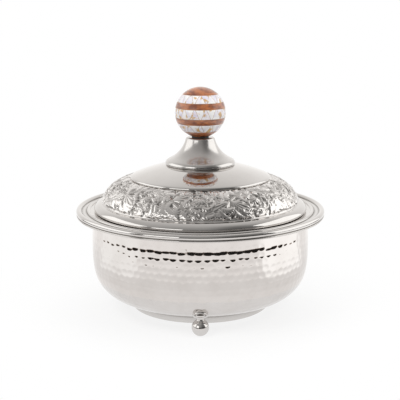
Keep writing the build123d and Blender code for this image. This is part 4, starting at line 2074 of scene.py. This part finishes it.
    def card(self, name: str, centre: Triple, size: Pair, turn: float, tones: Pair) -> None:
        """Sets up a bright upright card that the metal mirrors.

        Args:
            name: of the card.
            centre: of the card.
            size: its width and height.
            turn: about the upright axis; zero faces front and back.
            tones: its brightness at the foot and at the top.
        """
        bm = bmesh.new()
        bmesh.ops.create_grid(bm, x_segments=1, y_segments=1, size=0.5 / MM)
        bmesh.ops.scale(bm, vec=(*size, 1), verts=bm.verts)
        turn_about(bm, QUARTER, "X")
        turn_about(bm, turn)
        bmesh.ops.translate(bm, verts=bm.verts, vec=Vector(centre) / MM)
        material, bench = new_bench(name)
        up = bench.axes(bench.place())[2]
        share = bench.between(up, centre[2] - size[1] / 2, centre[2] + size[1] / 2)
        tone = bench.blend(share, *(warm(tone, *self.card_warmth) for tone in tones))
        self.glowing(to_mesh(bm, name), material, bench, tone)

    def lamp(self, name: str, place: Triple, power: float, size: float) -> None:
        """Sets up a large soft lamp aimed at the bowl.

        Args:
            name: of the lamp.
            place: where it stands.
            power: in watts.
            size: the side of its square.
        """
        data = bpy.data.lights.new(name, "AREA")
        data.shape = "SQUARE"
        data.size = size
        data.energy = power
        lamp = bpy.data.objects.new(name, data)
        lamp.location = place
        aim = Vector(self.lamp_aim) - Vector(place)
        lamp.rotation_euler = aim.to_track_quat("-Z", "Y").to_euler()
        lamp.visible_glossy = False
        bpy.context.collection.objects.link(lamp)

    def build(self) -> None:
        """Sets up the whole studio."""
        for part in (self.camera, self.world, self.floor, self.room, self.dark_ground, self.paper):
            part()
        for card in self.cards:
            self.card(*card)
        for lamp in self.lamps:
            self.lamp(*lamp)


def main() -> None:
    """Builds the classes in order and dresses the fittings; each piece logs its face count."""
    logging.basicConfig(level=logging.INFO, format="%(relativeCreated)d ms  %(message)s")
    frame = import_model()
    bpy.context.scene.view_settings.view_transform = "Standard"
    Studio().build()
    polished = SpunMetal("polished_nickel").material()
    bowl = BowlBody()
    bowl.build(polished, HammeredMetal("hammered_nickel").material())
    BallFeet(bowl).build(polished)
    satin = SpunMetal("satin_nickel", gloss=0.2).material()
    DomedLid().build(polished, satin, EmbossedMetal("embossed_nickel").material())
    cement = PlainFinish("honey_cement", (0.5, 0.33, 0.16), (0.36, 0.22, 0.1), metallic=0.0, gloss=0.4)
    InlaidKnob().build(
        LacqueredWood("lacquered_wood").material(), PearlShell("pearl_shell").material(), cement.material())
    rubber = PlainFinish("black_washer", (0.03, 0.028, 0.026), (0.05, 0.046, 0.04), metallic=0.0, gloss=0.5)
    brass = PlainFinish("turned_brass", (0.62, 0.45, 0.2), (0.5, 0.35, 0.15), metallic=1.0, gloss=0.3)
    steel = PlainFinish("plain_steel", (0.5, 0.5, 0.5), (0.4, 0.4, 0.4), metallic=1.0, gloss=0.25).material()
    fittings = {
        "knob_washer": rubber.material(), "knob_insert": brass.material(), "knob_screw": steel,
        "screw_washer": steel,
    }
    for node, material in fittings.items():
        mesh = frame["nodes"][node].data
        mesh.materials.clear()
        mesh.materials.append(material)
        log.info("%s: dressed", node)


if __name__ == "__main__":
    main()
